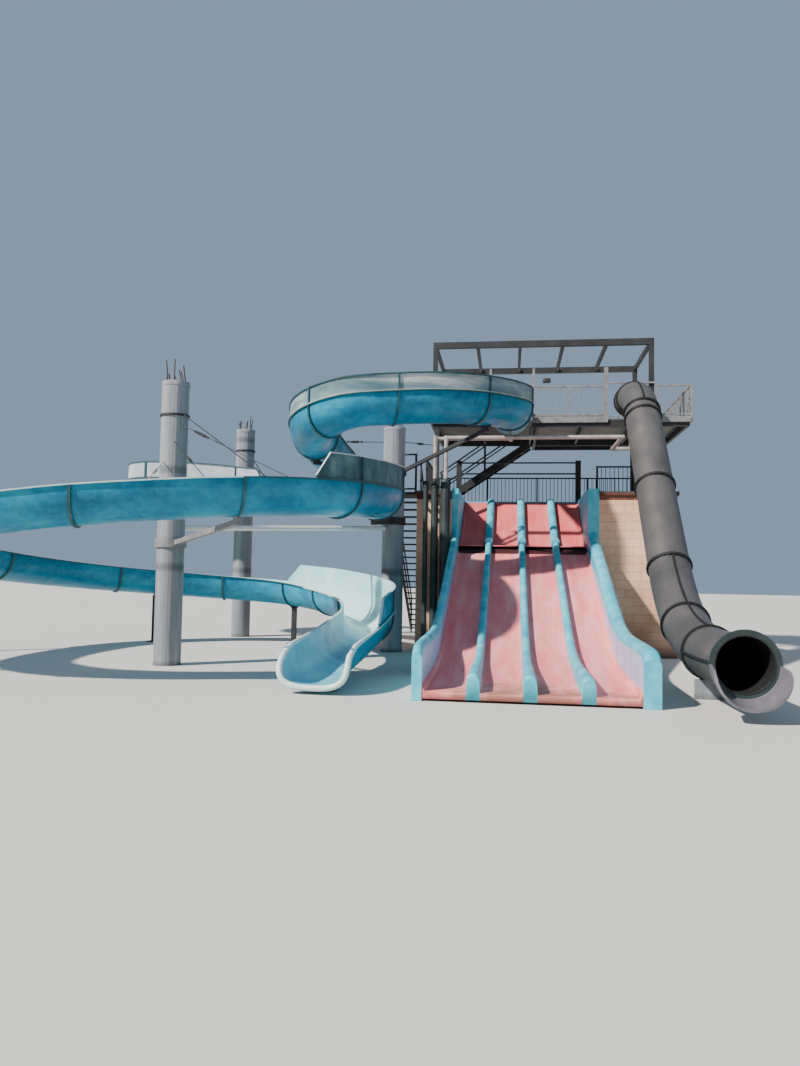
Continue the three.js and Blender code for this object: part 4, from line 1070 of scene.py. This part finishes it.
def scoop_point(k, point, t):
    """A point of the half shell at a share of its reach; past halfway its edges swing down and in."""
    angle, inward = point
    share = max(t - CORNER_FROM, 0.0) / (1 - CORNER_FROM)
    swing = CORNER_SWING * (1 - math.sqrt(max(1 - share * share, 0.0)))
    angle = math.pi / 2 + (angle - math.pi / 2) * (1 - swing)
    radius = SCOOP_RADIUS + SCOOP_WIDENS * t + inward
    return (mouth_at + right * math.cos(angle) * radius - scoop_top * math.sin(angle) * radius
            + scoop_way * (SCOOP_GAP + SCOOP_REACH * t))


scoop = sweep(scoop_ring, SCOOP_PLACES, scoop_point)
piece("tube_lip_scoop", settle(scoop, "scoop", lip_grey.material, angle=40), "black_fibreglass", "tube_lip")


# Railings: thin square bars stand upright between the top and bottom rails, about 0.11 m apart, on the
# platform and on the deck of the base.
BAR_PITCH = 0.113
BAR_SIZE = 0.016
PLATFORM_BARS = (6.07, 6.80)
PLATFORM_ROWS = [((0.29, 4.43), (-2.4, 4.43)), ((-2.4, 4.43), (-2.4, 1.32)), ((-2.4, 1.32), (-0.84, 1.32)),
                 ((0.28, 1.32), (2.13, 1.32)), ((3.38, 1.32), (4.25, 1.32)), ((4.25, 1.32), (4.25, 5.23)),
                 ((4.25, 5.23), (0.41, 5.23))]
BASE_BARS = (4.04, 4.9)
BASE_ROWS = [((-2.5, 1.4), (-2.5, 4.35)), ((-2.5, 5.24), (3.55, 5.24)), ((3.55, 5.24), (3.55, 2.7)),
             ((3.55, 2.7), (2.06, 2.7))]


def upright_bars(name, rows, reach_up, slot, material):
    """Bars along each row, from its start to its end, between a low and a high Z."""
    low, high = reach_up
    shape = bmesh.new()
    for (x0, y0), (x1, y1) in rows:
        count = int(math.hypot(x1 - x0, y1 - y0) / BAR_PITCH)
        for s in range(1, count):
            middle = (x0 + (x1 - x0) * s / count, y0 + (y1 - y0) * s / count, (low + high) / 2)
            bmesh.ops.create_cube(shape, size=1.0, matrix=Matrix.Translation(middle)
                                  @ Matrix.Diagonal((BAR_SIZE, BAR_SIZE, high - low, 1)))
    piece(name, settle(shape, name, material, smooth=False), slot)


upright_bars("platform_bars", PLATFORM_ROWS, PLATFORM_BARS, "galvanised_steel", dull.material)
upright_bars("base_bars", BASE_ROWS, BASE_BARS, "painted_steel", steel.material)

# Riser pipes: three dark mains with domed caps stand close before the front wall, and pale branch pipes
# leave the two larger ones for the slides above.
pipe_paint = Finish("dark green main", roughness=0.55, metallic=0.2)
main_shade = pipe_paint.ramp(pipe_paint.cloud(0.4), (0.3, colour(30, 42, 44)), (0.7, colour(56, 70, 70)))
branch_shade = pipe_paint.ramp(pipe_paint.cloud(0.2), (0.3, colour(150, 142, 136)),
                               (0.7, colour(190, 180, 172)))
BRANCH_FROM = 4.19
is_branch = pipe_paint.sum("GREATER_THAN", pipe_paint.axis("Z"), BRANCH_FROM)
pipe_paint.paint(pipe_paint.mix(is_branch, main_shade, branch_shade))
pipe_paint.bump(pipe_paint.cloud(0.05), 0.15, 0.003)
for node in ("riser_pipe_drain", "riser_pipe_tube", "riser_pipe_flume"):
    dress(node, pipe_paint.material)
MAINS_Y = -0.43
MAINS = [("drain", -2.33, 0.062, 4.1), ("flume", -2.11, 0.092, 4.02), ("tube", -1.85, 0.122, 4.11)]
DOME_HEIGHT = 0.7
DOME_RINGS = 8
for name, x, radius, top in MAINS:
    collar_radius = radius + 0.006
    dome = [(radius, -0.06), (collar_radius, -0.055), (collar_radius, -0.01), (radius, 0.0)]
    turns = [math.pi / 2 * s / DOME_RINGS for s in range(1, DOME_RINGS + 1)]
    dome += [(radius * math.cos(angle), radius * DOME_HEIGHT * math.sin(angle)) for angle in turns]
    cap = turned(dome, (x, MAINS_Y, top), UP, 24)
    piece(f"riser_cap_{name}", settle(cap, "cap", pipe_paint.material, angle=40), "dark_pipe")

# Lamps of the platform: small dark boxes with rounded edges, one over the front railing and one beside
# the roof frame's right back post.
LAMPS = [("middle", (0.62, 1.38, 7.0), (0.2, 0.1, 0.12)), ("post", (3.02, 4.0, 7.1), (0.16, 0.14, 0.26))]
LAMP_ROUNDING = 0.015
fitting = Finish("dark lamp housing", roughness=0.5)
fitting.paint(fitting.ramp(fitting.cloud(0.1), (0.3, colour(30, 32, 34)), (0.7, colour(54, 56, 58))))
for name, middle, size in LAMPS:
    housing = bmesh.new()
    bmesh.ops.create_cube(housing, size=1.0, matrix=Matrix.Translation(middle) @ Matrix.Diagonal((*size, 1)))
    bmesh.ops.bevel(housing, geom=housing.edges[:], offset=LAMP_ROUNDING, segments=2, affect="EDGES",
                    profile=0.5, material=-1)
    piece(f"lamp_{name}", settle(housing, "lamp", fitting.material), "painted_steel")


# Stage: a plain pale floor, a sun about 40 degrees up from the left in front, and a soft blue-grey sky.
FLOOR_HALF = 120.0
FLOOR_DROP = 0.003
SUN_WAY = (0.60, 0.50, -0.66)
floor_shape = bmesh.new()
bmesh.ops.create_grid(floor_shape, x_segments=1, y_segments=1, size=FLOOR_HALF,
                      matrix=Matrix.Translation((0, 0, -FLOOR_DROP)))
floor_finish = Finish("pale floor", roughness=0.9)
floor_finish.shader.inputs["Base Color"].default_value = colour(206, 204, 198)
floor = bpy.data.objects.new("floor", settle(floor_shape, "floor", floor_finish.material))
bpy.context.collection.objects.link(floor)

sun_data = bpy.data.lights.new("sun", "SUN")
sun_data.energy = 7.4
sun_data.angle = math.radians(2.0)
sun_data.color = (1.0, 0.955, 0.89)
sun = bpy.data.objects.new("sun", sun_data)
sun.rotation_euler = Vector(SUN_WAY).to_track_quat("-Z", "Y").to_euler()
bpy.context.collection.objects.link(sun)

world = bpy.data.worlds.new("sky")
bpy.context.scene.world = world
world.use_nodes = True
sky = world.node_tree.nodes["Background"]
sky.inputs["Color"].default_value = (0.50, 0.68, 0.92, 1.0)
sky.inputs["Strength"].default_value = 0.5
